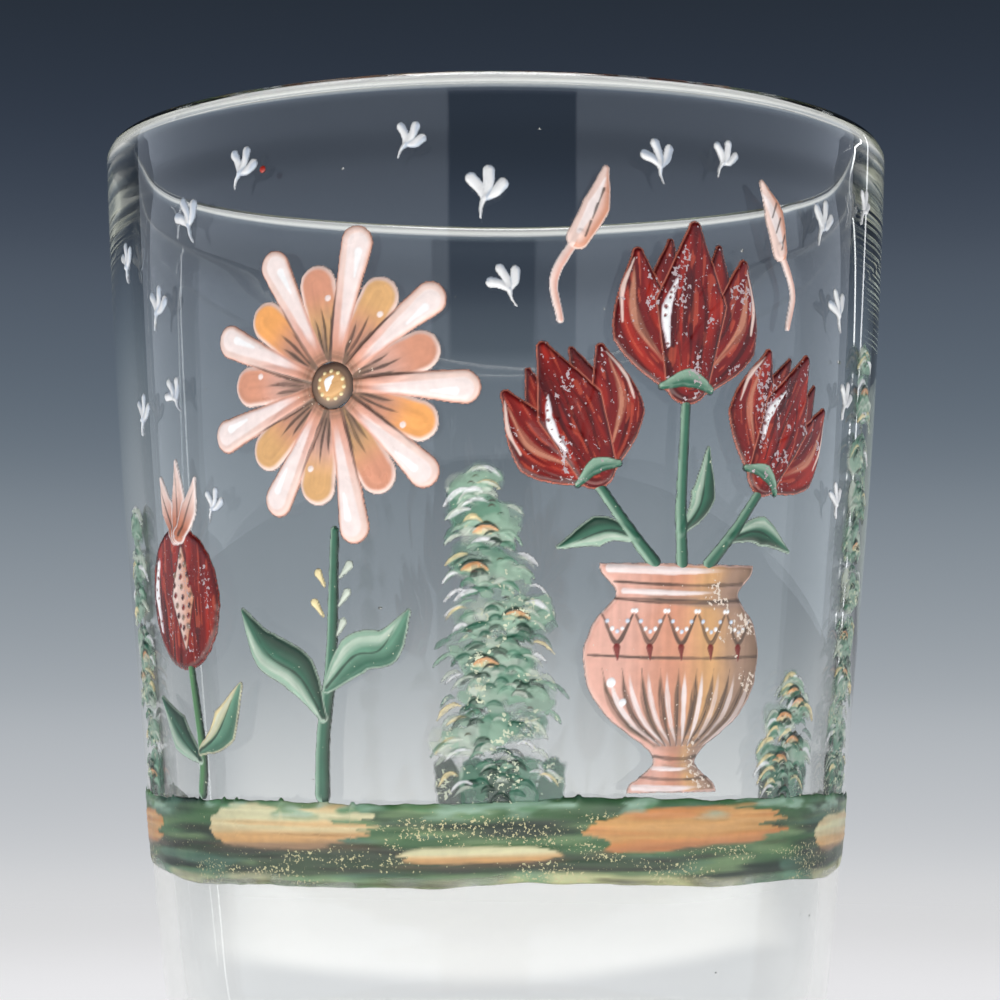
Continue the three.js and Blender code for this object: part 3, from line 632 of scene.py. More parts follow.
def bubbled_highlight(sh, points, halves, seed, tone=RED, count=9):
    """a raised lavender-white painted highlight with small burst bubbles in it"""
    lay(sh, Stroke(sh, points, halves), lambda g: mixed(lin((214, 196, 206)), WHITE, smooth(0.0, 0.25, g.inset)), strength=0.96, soft=0.1, thick=0.16, rise=1.0, grow=False, seed=seed, streak=0.04, wobble=0.12)
    pits(sh, points, max(halves) * 0.55, count, seed + 2, size=(0.1, max(halves) * 0.42), tone=tone)


def left_fruit():
    ca, cz = -41.5, 52.5
    sh = Sheet(-50.5, -32.5, 43.5, 68.5, q_of(0.13))
    g = Patch(sh, ellipse(ca, cz, 7.2, 7.6, 8))
    lay(sh, g, red_body(4), thick=0.26, streak=0.16, seed=6, fine=1.6, along=0.1, wobble=0.12, wear=0.4, round_mm=0.8, edge=lin((150, 52, 40)), edge_mm=0.16)
    lay(sh, Stroke(sh, [(ca + 0.6, cz - 5.2), (ca + 0.5, cz + 0.4), (ca + 0.9, cz + 5.2)], [0.4, 2.5, 0.4]), lambda g: mixed(SALMON, PALE, smooth(-0.9, 0.7, g.k)), soft=0.14, thick=0.1, grow=False, seed=7, edge=RED_D, edge_mm=0.34, streak=0.1)
    for k in range(9):
        z = cz - 4.2 + k * 1.08
        wide = 1.5 * math.sin(math.pi * (k + 0.8) / 10.2)
        for j in (-1, 0, 1):
            if abs(j) and wide < 0.7:
                continue
            dot(sh, ca + 0.6 + j * wide + 0.12 * math.sin(5 * k + j), z + 0.2 * (j % 2), 0.36, [RED, RED_D, BROWN][(k + j) % 3], thick=0.12, seed=k * 3 + j, grow=False, rise=1.0)
            # a small pale dot on each seed, up and to the left: a painted highlight
            dot(sh, ca + 0.5 + j * wide + 0.12 * math.sin(5 * k + j), z + 0.12 + 0.2 * (j % 2), 0.12, PINKWHITE, thick=0.05, seed=k, grow=False, rise=1.0)
    # a lavender-white painted highlight on the fruit's left side, with burst bubbles
    bubbled_highlight(sh, [(ca - 4.4, cz + 4.0), (ca - 5.5, cz + 0.6), (ca - 4.7, cz - 3.4)], [0.3, 0.66, 0.18], 9)
    sh.wear = np.maximum(sh.wear, 0.8 * smooth(0.54, 0.68, fbm(sh.A * 0.5 + 3, sh.Z * 0.2, 12)) * (sh.cover > 0.6))
    for pts, s in ((((-41.8, 59.2), (-43.6, 62.4), (-44.6, 65.4)), 1), (((-41.2, 59.2), (-40.9, 63.0), (-41.0, 67.0)), 2), (((-40.6, 59.2), (-38.6, 62.2), (-37.4, 65.0)), 3)):
        lay(sh, Stroke(sh, pts, [1.05, 1.4, 0.25]), lambda g: mixed(SALMON_D, PALE, smooth(0.1, 0.8, g.t)), thick=0.22, seed=40 + s, edge=PINKWHITE, edge_mm=0.3)
        lay(sh, Stroke(sh, [pts[0], pts[1], (pts[2][0], pts[2][1] - 1.0)], [0.22, 0.2, 0.05]), BROWN_D, strength=0.85, soft=0.1, thick=0.04, grow=False, seed=44 + s, dry=0.2)
    enamel("left_fruit", sh, RED_ENAMEL, "enamel_red", "enamel_left_fruit")
    sh = Sheet(-50.5, -30.2, 31.2, 46.6, q_of(0.14))
    stem(sh, [(-40.0, 32.2), (-39.4, 36), (-40.6, 45.2)], [0.9, 0.8, 0.7], 3, GREEN, MINT)
    leaf(sh, [(-39.6, 35.4), (-44.0, 38.0), (-48.6, 42.0)], [0.5, 2.3, 0.3], 21)
    leaf(sh, [(-39.5, 36.4), (-35.4, 38.6), (-31.6, 43.4)], [0.5, 2.2, 0.3], 22, (TEAL_L, CREAM, TEAL))
    enamel("left_fruit_stem", sh, GREEN_ENAMEL, "enamel_green", "enamel_left_fruit_stem")


def arch(sh, x, z, rx, half, tone, seed, lean=0.0, droop=0.5, **more):
    """one arched touch of a fine brush, hanging at both ends"""
    pts = [(x + rx * u, z - rx * droop * u * u + lean * rx * u) for u in (-1.0, -0.5, 0.0, 0.5, 1.0)]
    more = {**dict(soft=0.1, thick=0.13, rise=0.8, streak=0.16, wobble=0.07, fine=2.4, wear=0.25), **more}
    lay(sh, Stroke(sh, pts, [half * k for k in (0.3, 0.85, 1.0, 0.85, 0.25)]), tone, seed=seed, **more)


def frond(name, node, tufts, seed, q=0.13):
    """a leafy column: a mottled wash, then tiers of small arched touches from the top down, pale outside as painted
    light and dark within as painted shade, over ochre glints
    """
    rng = np.random.default_rng(seed)
    a = [t[0] - t[2] for t in tufts] + [t[0] + t[2] for t in tufts]
    z = [t[1] - t[3] for t in tufts] + [t[1] + t[3] for t in tufts]
    sh = Sheet(min(a) - 1.4, max(a) + 1.4, max(min(z) - 0.8, 31.3), max(z) + 1.4, q_of(q))
    order = sorted(range(len(tufts)), key=lambda i: -tufts[i][1])
    lowest, highest = min(z), max(z)
    for i in order:  # the wash
        ca, cz, rx, rz = tufts[i]
        for k in range(4):
            x, zz = ca + rng.uniform(-0.45, 0.45) * rx, cz + rng.uniform(-0.5, 0.35) * rz
            tone = [MINT, MINTW, TEAL_L, MINT * 0.9][k]
            far = int(rng.integers(1, 900))
            lay(sh, Stroke(sh, [(x - rx * 0.34, zz), (x + rx * 0.34, zz + rng.uniform(-0.4, 0.4))], [rz * 0.62, rz * 0.5]), tone, strength=lambda g, far=far: 0.35 + 0.5 * smooth(0.35, 0.65, noise(g.s * 0.9, g.w * 0.9, far)), soft=0.45, thick=0.06, streak=0.08, fine=1.4, along=0.9, seed=far, wobble=0.42, wear=0.35)
    ca, cz, rx, rz = tufts[order[-1]]
    for k in range(5):  # low touches down to the ground
        x = ca + (-0.75 + 0.375 * k) * rx
        lay(sh, Stroke(sh, [(x, 31.75), (x + 0.25 * (k - 2), cz + 0.2 * rz)], [rx * 0.24, rx * 0.2]), [GREEN_D, TEAL, GREEN_D, TEAL_L, TEAL][k], strength=0.8, soft=0.4, thick=0.06, seed=seed * 7 + k, wobble=0.35, wear=0.5)
    for n, i in enumerate(order):
        ca, cz, rx, rz = tufts[i]
        down = n / max(len(order) - 1, 1)
        spots = []
        for k in range(int(7 + rx * 3.1)):
            u, v = rng.uniform(-1.0, 1.0), rng.uniform(-0.95, 0.95)
            spots.append((u, v * (1 - 0.4 * u * u), rng.random(), rng.uniform(0.75, 1.5), rng.uniform(0.2, 0.4), rng.uniform(0.25, 0.65), int(rng.integers(1, 900))))
        glints = list(rng.uniform(-0.5, 0.6, 1)) if rng.random() < 0.62 else []
        spots.sort(key=lambda s: -s[1])
        for u, v, pick, wide, half, droop, far in spots:
            x, zz = ca + u * rx * 0.86, cz + v * rz * 0.95
            while len(glints) and glints[0] > v:
                gx, gz = ca + (0.3 - 0.6 * ((far % 10) / 9)) * rx, cz + glints[0] * rz
                arch(sh, gx, gz, 1.35, 0.62, lambda g: mixed(mixed(ORANGE, SALMON, np.array(0.3)), CREAM, smooth(0.5, -0.8, g.k)), far + 5, droop=0.3, strength=0.9, thick=0.05, comb=0.5)
                arch(sh, gx - 0.1, gz + 0.55, 1.6, 0.22, GREEN_D * 0.8, far + 6, droop=0.5)
                arch(sh, gx + 0.5, gz - 0.3, 1.0, 0.18, GREEN_D, far + 7, droop=0.6)
                glints = glints[1:]
            # touches on the outside and in the top tier are pale, painted light; those within are dark, painted shade
            outer = abs(u) > 0.62 or down < 0.16
            if outer:
                tone = [MINTW, MINT, WHITE * 0.92, CREAM, MINTW, TEAL_L][int(pick * 6)]
            else:
                tone = [TEAL, GREEN_D, TEAL, TEAL_L, MINT, GREEN_D * 0.8, MINTW][int(pick * 7)]
            # each touch darkens to 0.8 along its lower edge: painted shade
            arch(sh, x, zz, wide * (1.05 if outer else 0.9), half * (0.8 if outer else 1.0), lambda g, tone=tone: mixed(tone * 0.8, tone, smooth(-0.8, 0.3, g.k)), far, lean=-0.55 * u, droop=droop, strength=0.95 if pick < 0.7 else 0.75, comb=0.35)
        for k in range(3):
            x, zz = ca + rng.uniform(-0.6, 0.6) * rx, cz + rng.uniform(-0.8, 0.6) * rz
            arch(sh, x, zz, 0.4, 0.13, [BROWN_D, GREEN_D * 0.6, OLIVE][k], int(rng.integers(1, 900)), grow=False, thick=0.04)
    grain = 0.9 * smooth(0.42, 0.58, fbm(sh.A * 0.5, sh.Z * 0.5, seed + 40)) * smooth(highest - 5, highest - 16, sh.Z)
    sh.wear = np.maximum(sh.wear, np.where(sh.cover > 0.1, grain, 0))
    enamel(name, sh, GREEN_ENAMEL, "enamel_green", node)


def urn():
    ca, z0 = 21.0, 31.9
    half = [(0.45, 6.0), (1.6, 5.6), (2.7, 2.9), (4.2, 2.5), (5.8, 5.0), (8.0, 8.6), (11.0, 10.9), (14.6, 11.5), (17.8, 10.4), (20.0, 7.9), (21.2, 7.5), (22.2, 9.6), (23.6, 9.8)]
    hz, hw = np.array([h[0] for h in half]), np.array([h[1] for h in half])
    fine_z = np.linspace(hz[0], hz[-1], 90)
    fine_w = np.interp(fine_z, hz, hw)
    fine_w = np.convolve(np.pad(fine_w, 3, mode="edge"), np.ones(7) / 7, "valid")
    sh = Sheet(ca - 13, ca + 13, 31.7, 56.4, q_of(0.12))
    outline = [(ca + w, z0 + z) for z, w in zip(fine_z, fine_w)] + [(ca - w, z0 + z) for z, w in zip(fine_z[::-1], fine_w[::-1])]
    wide = np.interp(sh.Z - z0, fine_z, fine_w)
    side = (sh.A - ca) / np.maximum(wide, 0.5)

    def across(g):
        return (g.A - ca) / np.maximum(np.interp(g.Z - z0, fine_z, fine_w), 0.5)

    # the body: pink on the left as painted light, salmon and ochre in the middle, mauve and brown on the right as
    # painted shade
    def clay_with_painted_shade(g):
        u = across(g) + 0.12 * (fbm(g.A * 0.2, g.Z * 0.5, 61, 2) - 0.5)
        col = mixed(PINK, SALMON, smooth(-0.75, -0.05, u))
        col = mixed(col, OCHRE, smooth(-0.1, 0.4, u) * 0.9)
        col = mixed(col, MAUVE, smooth(0.35, 0.75, u) * 0.85)
        return mixed(col, BROWN, smooth(0.7, 1.0, u) * 0.9)

    g = Patch(sh, outline)
    lay(sh, g, clay_with_painted_shade, thick=0.22, streak=0.13, fine=1.5, along=0.07, seed=2, wobble=0.1, wear=0.2, edge=mixed(PALE, PINK, np.array(0.5)), edge_mm=0.26)
    # shadow washes: under the rim, round the neck and under the belly
    for z, hgt, amount in ((20.6, 1.6, 0.8), (6.0, 2.2, 0.75), (3.3, 1.0, 0.6)):
        w = float(np.interp(z, fine_z, fine_w)) * 0.97
        lay(sh, Stroke(sh, [(ca - w * 0.8, z0 + z), (ca, z0 + z - 0.3), (ca + w, z0 + z)], [hgt * 0.4, hgt * 0.8, hgt]), MAUVE, strength=amount, soft=0.6, thick=0.0, grow=False, seed=int(z * 7), streak=0.25, fine=2.4, dry=0.55, start=0.2)
    # gadroons: brown strokes that follow the belly, each with a pale one beside it as a painted highlight, fainter on
    # the right
    for i, u in enumerate(np.linspace(-0.86, 0.86, 9)):
        pts = [(ca + u * np.interp(z, fine_z, fine_w) * (0.96 if z > 6 else 0.8), z0 + z) for z in (5.2, 7.6, 10.2, 13.0)]
        lay(sh, Stroke(sh, pts, [0.14, 0.5, 0.56, 0.1]), mixed(BROWN, BROWN_D, np.array(0.25 + 0.4 * (i % 2))), strength=0.9, soft=0.3, thick=0.05, grow=False, seed=40 + i, streak=0.25, wear=0.5, end=0.2, dry=0.4)
        lay(sh, Stroke(sh, pts, [0.06, 0.14, 0.12, 0.05]), BROWN_D, strength=0.9, soft=0.08, thick=0.03, grow=False, seed=45 + i, dry=0.25)
        pts = [(x + 0.78, z) for x, z in pts]
        lay(sh, Stroke(sh, pts, [0.08, 0.3, 0.36, 0.08]), PINKWHITE, strength=0.9 if i < 6 else 0.55, soft=0.16, thick=0.07, grow=False, seed=50 + i, end=0.25, dry=0.3)
    for z, wl, tone in ((19.9, 0.3, BROWN_D), (21.6, 0.22, BROWN_D), (14.2, 0.2, BROWN_D), (4.0, 0.26, BROWN_D), (1.9, 0.2, BROWN_D)):
        w = float(np.interp(z, fine_z, fine_w)) * 0.96
        lay(sh, Stroke(sh, [(ca - w, z0 + z + 0.14), (ca - w * 0.3, z0 + z - 0.1), (ca + w * 0.4, z0 + z - 0.12), (ca + w, z0 + z + 0.12)], [wl * 0.7, wl, wl * 0.8, wl]), tone, strength=0.9, soft=0.1, thick=0.05, grow=False, seed=int(z * 3), wear=0.4, dry=0.3)
    # pale pink strokes along the lip, neck and foot, stopping short on the right: painted highlights
    for z, wl in ((23.0, 0.46), (20.75, 0.3), (2.9, 0.26), (0.95, 0.36)):
        w = float(np.interp(z, fine_z, fine_w)) * 0.9
        lay(sh, Stroke(sh, [(ca - w, z0 + z + 0.05), (ca, z0 + z - 0.1), (ca + w * 0.7, z0 + z + 0.05)], [wl, wl, wl * 0.4]), PINKWHITE, strength=0.92, soft=0.14, thick=0.1, grow=False, seed=int(z * 5), end=0.3, dry=0.15)
    # a garland of hanging loops with pale blue beads and red drops
    for k in range(5):
        x0, x1 = ca - 9.4 + k * 3.9, ca - 5.9 + k * 3.9
        lay(sh, Stroke(sh, [(x0, z0 + 18.4), ((x0 + x1) / 2, z0 + 15.6), (x1, z0 + 18.4)], [0.16, 0.3, 0.16]), BROWN_D, strength=0.9, soft=0.1, thick=0.05, grow=False, seed=70 + k, dry=0.2)
        for j in range(7):
            t = j / 6
            dot(sh, x0 + (x1 - x0) * t, z0 + 18.3 - 2.1 * math.sin(math.pi * t) + 0.55, 0.24, BLUEW if j % 2 else WHITE, thick=0.1, seed=j, grow=False, rise=1.0)
        lay(sh, Stroke(sh, [((x0 + x1) / 2, z0 + 15.1), ((x0 + x1) / 2 + 0.1, z0 + 13.9)], [0.46, 0.12]), RED, strength=0.95, soft=0.1, thick=0.12, grow=False, seed=80 + k)
    # two white dots on the left of the belly: painted highlights
    for z, r in ((11.6, 0.52), (9.6, 0.42)):
        dot(sh, ca - 8.2 + (11.6 - z) * 0.7, z0 + z, r, WHITE, thick=0.14, seed=int(z), grow=False, rise=1.0)
    cloud = smooth(0.5, 0.6, fbm(sh.A * 0.32, sh.Z * 0.32, 3))
    sh.wear = np.maximum(sh.wear, 0.95 * smooth(0.0, 0.6, side) * cloud * (sh.cover > 0.2))
    enamel("urn", sh, SALMON_ENAMEL, "enamel_salmon", "enamel_urn")


def tulip(name, node, a, z, deg, s, seed):
    turn = math.radians(deg)
    c, sn = math.cos(turn), math.sin(turn)

    def at(pts):
        return [(a + s * (x * c + y * sn), z + s * (-x * sn + y * c)) for x, y in pts]

    sh = Sheet(a - 10 * s, a + 10 * s, z - 3 * s, z + 13 * s, q_of(0.115))
    line = lin((196, 112, 92))
    # the two petals behind: the same streaked red darkened to 0.7, painted shade
    for i, p in enumerate([[(-1.6, 2.6), (-2.2, 6.5), (-2.0, 10.2)], [(1.6, 2.6), (2.2, 6.5), (2.2, 10.2)]]):
        lay(sh, Stroke(sh, at(p), np.array([1.0, 1.7, 0.3]) * s), lambda g, i=i: red_body(seed + i)(g) * 0.7, thick=0.2, streak=0.16, seed=seed + i, wear=0.35, edge=line * 0.8, edge_mm=0.14)
    for i, p in enumerate([[(0, 0.6), (-3.6, 4.2), (-4.6, 9.2)], [(0, 0.6), (3.6, 4.2), (4.6, 9.2)]]):
        sgn = -1 if i == 0 else 1
        lay(sh, Stroke(sh, at(p), np.array([1.9, 2.9, 0.5]) * s), red_body(seed + 5 + i), thick=0.22, streak=0.18, seed=seed + 5 + i, edge=line, edge_mm=0.17, wear=0.45, rise=0.5)
        lay(sh, Stroke(sh, at([(sgn * 2.3, 1.7), (sgn * 4.6, 4.6), (sgn * 4.9, 8.2)]), np.array([0.16, 0.5, 0.1]) * s), SALMON, strength=0.7, soft=0.3, thick=0.04, grow=False, seed=seed + 8, dry=0.6, streak=0.2)
        lay(sh, Stroke(sh, at([(sgn * 5.6, 4.2), (sgn * 5.7, 6.4), (sgn * 4.9, 8.8)]), np.array([0.1, 0.2, 0.06]) * s), PALE, strength=0.9, soft=0.12, thick=0.07, grow=False, seed=seed + 10)
    lay(sh, Stroke(sh, at([(0, 0.6), (0, 5.0), (0, 11.4)]), np.array([2.0, 3.1, 0.6]) * s), red_body(seed + 9), thick=0.26, streak=0.18, seed=seed + 9, edge=line, edge_mm=0.18, wear=0.5, rise=0.5)
    for k in (-1.25, 0.0, 1.25):
        lay(sh, Stroke(sh, at([(k * 0.6, 1.4), (k, 5.0), (k * 0.45, 9.2 - abs(k))]), np.array([0.1, 0.2, 0.05]) * s), RED_D * 0.7, strength=0.85, soft=0.12, thick=0.04, grow=False, seed=seed + 12, dry=0.3)
    # a lavender-white painted highlight on the left of the flower, with burst bubbles
    bubbled_highlight(sh, at([(-1.9, 2.8), (-2.2, 5.2), (-1.4, 7.6)]), [0.2 * s, 0.44 * s, 0.14 * s], seed + 14, count=8)
    sh.wear = np.maximum(sh.wear, 0.98 * smooth(0.55, 0.66, fbm(sh.A * 0.55 + seed, sh.Z * 0.3, seed + 3)) * (sh.cover > 0.5))
    # the green cup at the foot of the flower: teal on one side, mint on the other as a painted highlight
    lay(sh, Stroke(sh, at([(-2.1, -0.2), (0, 0.5), (2.1, -0.2)]), np.array([0.3, 0.75, 0.3]) * s), lambda g: mixed(TEAL, MINT, smooth(-0.4, 0.6, g.k)), thick=0.24, seed=seed + 16, grow=True, rise=0.6, edge=GREEN_D, edge_mm=0.12)
    enamel(name, sh, RED_ENAMEL, "enamel_red", node)


def small_greens():
    for name, node, lines in (
        ("tulip_stem_left", "enamel_tulip_stem_left", ([(17.6, 55.5), (14.8, 58.6), (11.0, 63.2)], [(15.4, 58.0), (11.6, 58.8), (6.6, 57.0)])),
        ("tulip_stem_middle", "enamel_tulip_stem_middle", ([(21.0, 55.4), (20.6, 62.0), (20.8, 72.2)], [(20.6, 58.6), (23.2, 62.0), (23.8, 67.4)])),
        ("tulip_stem_right", "enamel_tulip_stem_right", ([(24.4, 55.5), (27.4, 58.6), (31.2, 63.2)], [(27.0, 58.2), (31.6, 59.2), (36.6, 57.2)])),
    ):
        pts = np.array([p for line in lines for p in line])
        sh = Sheet(pts[:, 0].min() - 2.4, pts[:, 0].max() + 2.4, pts[:, 1].min() - 2.2, pts[:, 1].max() + 2.0, q_of(0.13))
        leaf(sh, lines[1], [0.4, 1.6, 0.2], len(name))
        stem(sh, lines[0], [0.75, 0.62, 0.55], len(name) + 2)
        enamel(name, sh, GREEN_ENAMEL, "enamel_green", node)
    for name, node, line, bud in (
        ("bud_stalk_left", "enamel_bud_stalk_left", [(6.6, 79.8), (6.0, 84.0), (8.6, 88.4)], (8.4, 88.0, 22, 7.6, 1.5)),
        ("bud_stalk_right", "enamel_bud_stalk_right", [(34.6, 80.6), (35.2, 84.4), (32.8, 88.8)], (33.0, 88.4, -24, 7.4, 1.45)),
    ):
        x, z, deg, length, half = bud
        t = math.radians(deg)
        end = (x + math.sin(t) * length, z + math.cos(t) * length)
        sh = Sheet(min(line[0][0], line[1][0], x, end[0]) - 2.6, max(line[0][0], line[1][0], x, end[0]) + 2.6, line[0][1] - 1.5, end[1] + 1.5, q_of(0.12))
        # the stalk pink on one side and pale on the other, painted shade and light; the bud salmon on one side as
        # painted shade, with a pink-white painted highlight along it
        lay(sh, Stroke(sh, line, [0.42, 0.5, 0.5]), lambda g: mixed(PINK, PALE, smooth(-0.5, 0.5, g.k)), thick=0.22, seed=3, edge=PINKWHITE, edge_mm=0.15)
        mid = ((x + end[0]) / 2 + math.cos(t) * half * 0.35, (z + end[1]) / 2 - math.sin(t) * half * 0.35)
        lay(sh, Stroke(sh, [(x, z), mid, end], [half * 0.8, half, half * 0.25]), lambda g: mixed(PALE, SALMON, smooth(-0.1, 0.8, -g.k)), thick=0.26, seed=4, edge=PALE, edge_mm=0.22)
        lay(sh, Stroke(sh, [(x, z + 0.6), (mid[0] - 0.4, mid[1]), (end[0] - 0.1, end[1] - 1.0)], [0.3, 0.62, 0.12]), PINKWHITE, strength=0.95, soft=0.2, thick=0.08, grow=False, seed=5)
        for k in (0.15, 0.4, 0.62):
            px, pz = x + (end[0] - x) * k, z + (end[1] - z) * k
            lay(sh, Stroke(sh, [(px + 0.3, pz - 0.9), (px + 0.85, pz + 0.6)], [0.12, 0.18]), BROWN_D, strength=0.85, soft=0.1, thick=0.04, grow=False, seed=6)
        enamel(name, sh, PALE_ENAMEL, "enamel_pale_pink", node)
    sh = Sheet(-26.4, -24.4, 95.1, 97.1, q_of(0.06))
    dot(sh, -25.4, 96.1, 0.34, RED_B, thick=0.14, seed=2)
    enamel("red_spot", sh, RED_ENAMEL, "enamel_red")


class Ring:
    """The ground band: one strip of enamel right round the glass, painted like a sheet that closes on itself."""

    def __init__(self, z0, z1, q):
        self.span = 2 * math.pi * REF
        self.count = int(round(self.span / q))
        self.q = self.span / self.count
        nz = int(round((z1 - z0) / self.q)) + 1
        self.A, self.Z = np.meshgrid(-self.span / 2 + self.q * np.arange(self.count + 1), z0 + self.q * np.arange(nz))

    def noise(self, fx, fz, seed, octaves=3, shift=0.0):
        """noise that meets itself round the glass"""
        x, z = self.A * fx, self.Z * fz + shift
        k = smooth(0.0, 1.0, (self.A + self.span / 2) / self.span)
        return fbm(x, z, seed, octaves) * (1 - k) + fbm(x - self.span * fx, z, seed, octaves) * k


def ground_band():
    R = Ring(21.8, 33.0, q_of(0.18))
    A, Z = R.A, R.Z
    th = A / REF
    top = 31.5 + 0.25 * np.sin(3 * th + 0.4) + 0.18 * np.sin(7 * th) + 0.3 * (R.noise(0.45, 0.0, 5) - 0.5) * 2 + 0.3 * smooth(0.62, 0.75, R.noise(0.9, 0.0, 6, 2))
    top = top - 3.4 * smooth(0.1, -0.5, np.cos(th))
    low = 23.0 + 0.35 * np.sin(4 * th + 1.1) + 0.22 * np.sin(9 * th + 0.3) + 0.45 * (R.noise(0.16, 0.0, 15) - 0.5) * 2
    inset = np.minimum(top - Z, Z - low)
    v = (Z - low) / (top - low)
    # brush lines run sideways and sway a little
    sway = 1.3 * (R.noise(0.05, 0.1, 19, 2) - 0.5)

    def streaks(fx, fz, seed, octaves=2):
        return R.noise(fx, fz, seed, octaves, shift=sway * fz)

    bristle = streaks(0.14, 4.2, 22)
    col = mixed(GREEN_D, lin((74, 122, 76)), smooth(0.36, 0.56, streaks(0.06, 0.7, 21)))
    col = mixed(col, lin((134, 168, 116)), smooth(0.52, 0.66, streaks(0.09, 1.1, 23)) * 0.8)
    col = mixed(col, TEAL_L, smooth(0.58, 0.7, streaks(0.1, 0.9, 33)) * 0.7)
    dark = smooth(0.47, 0.57, streaks(0.045, 0.6, 25)) * smooth(0.06, 0.16, v) * smooth(0.9, 0.6, v)
    col = mixed(col, lin((50, 76, 52)), dark * 0.9)
    col = mixed(col, lin((38, 44, 34)), dark * smooth(0.5, 0.62, streaks(0.1, 1.6, 26)) * 0.85)
    col = col * 0.66
    wear = np.maximum(0.8 * smooth(0.46, 0.6, R.noise(0.13, 0.5, 27)) * smooth(1.0, 0.75, v), 0.2 + 0.25 * dark)
    h = 0.19 + 0.06 * (bristle - 0.5) * 2
    # long cream and ochre sweeps: firm at one end, drawn out in bristle streaks at the other, turning ochre and brown
    # towards the bottom as painted shade, with painted brown shadow lines beneath
    for k, (ca, cz, back, fore, rz, tone) in enumerate([(-30, 28.9, 8.5, 15.0, 2.3, CREAM), (-2, 26.4, 9.0, 8.0, 0.9, CREAM), (22, 28.7, 10.5, 17.0, 2.1, OCHRE), (54, 27.4, 7, 11, 1.9, CREAM), (80, 28.0, 7, 15, 1.9, CREAM), (106, 27.2, 12, 8, 1.5, OCHRE), (-60, 27.8, 12, 7, 1.8, OCHRE), (-88, 27.8, 8, 14, 1.9, CREAM), (-118, 27.0, 12, 8, 1.5, CREAM), (131, 27.6, 7, 9, 1.5, CREAM)]):
        warm = tone is OCHRE
        away = (A - ca + R.span / 2) % R.span - R.span / 2
        run = np.where(away < 0, -away / back, away / fore)
        ragged = (R.noise(0.04, 1.7, 40 + k, 2) - 0.5) + 0.5 * (R.noise(0.1, 4.6, 50 + k, 2) - 0.5)
        u = run + ragged * np.where(away < 0, 0.55, 1.1) * smooth(0.1, 0.6, run)
        tall = rz * np.clip(1 - np.clip(u, 0, 1) ** 4, 0, 1) ** 0.6 * (0.8 + 0.4 * R.noise(0.12, 0.0, 90 + k)) + 0.35 * (streaks(0.3, 1.2, 95 + k) - 0.5)
        y = Z - cz - 0.03 * away - 0.6 * sway
        gap = np.where(u < 1, tall - np.abs(y), -1.0)
        amount = smooth(-0.08, 0.14, gap)
        lines = streaks(0.07, 2.6, 70 + k)
        tone = tone * (np.array([0.95, 0.88, 0.7]) if warm else np.array([0.8, 0.9, 0.98]))
        ochre = OCHRE * np.array([0.98, 0.9, 0.72])
        shade = mixed(tone, mixed(tone, ochre, np.array(0.7)), smooth(0.45, 0.62, streaks(0.06, 1.3, 66 + k)) * 0.7)
        shade = mixed(shade, ochre, smooth(0.3, -0.7, y / rz + 0.8 * (lines - 0.5)) * 0.9)
        shade = mixed(shade, BROWN, smooth(-0.5, -0.95, y / rz + 0.9 * (lines - 0.5)) * 0.75)
        if warm:
            shade = mixed(shade, lin((196, 116, 62)), smooth(0.5, 0.62, streaks(0.05, 1.8, 60 + k)) * 0.6)
        shade = shade * (1 + 0.14 * (streaks(0.1, 3.6, 62 + k) - 0.5) * 2)[..., None]
        shadow = smooth(0.9, 0.0, np.abs(y + rz * 0.98) / 0.7) * smooth(1.25, 0.8, u)
        col = mixed(col, lin((84, 70, 50)), shadow * 0.8 * smooth(0.34, 0.5, streaks(0.12, 2.2, 80 + k)))
        col = mixed(col, shade, amount)
        wear = wear * (1 - 0.9 * amount)
        h = h + 0.05 * amount
    # green touches that come down over the upper edge, and a thin pale seam along the lower one
    over = smooth(0.5, 0.6, streaks(0.16, 0.9, 71, 3)) * smooth(0.74, 0.9, v)
    col = mixed(col, mixed(lin((86, 134, 96)), MINT, smooth(0.45, 0.6, streaks(0.25, 1.6, 72))), over * 0.85)
    wear = np.maximum(wear, 0.3 * over)
    seam = smooth(1.25, 0.55, Z - low + 1.1 * (streaks(0.09, 0.7, 76) - 0.5))
    pale = mixed(mixed(lin((132, 170, 122)), TEAL_L, smooth(0.45, 0.6, R.noise(0.08, 0.2, 73)) * 0.8), lin((214, 212, 160)), smooth(0.46, 0.58, R.noise(0.07, 0.3, 77)) * 0.85)
    col = mixed(col, pale, seam * 0.85)
    line = smooth(0.34, 0.12, np.abs(Z - low - 0.3)) * smooth(0.45, 0.55, R.noise(0.06, 0.0, 78))
    col = mixed(col, lin((70, 66, 46)), line * 0.7)
    col = col * (1 + 0.22 * (bristle - 0.5) * 2)[..., None]
    al = 1 - 0.42 * seam * smooth(0.35, 0.6, R.noise(0.14, 0.5, 74))
    h = h * (1 - 0.45 * seam)
    k = np.clip(inset / 0.6, 0, 1)
    R.cover, R.rgb, R.al, R.wear = inset, col, np.clip(al, 0, 1), np.clip(wear, 0, 1)
    R.h = np.where(inset > 0, h * (1 - (1 - k) ** 2), 0)
    return R


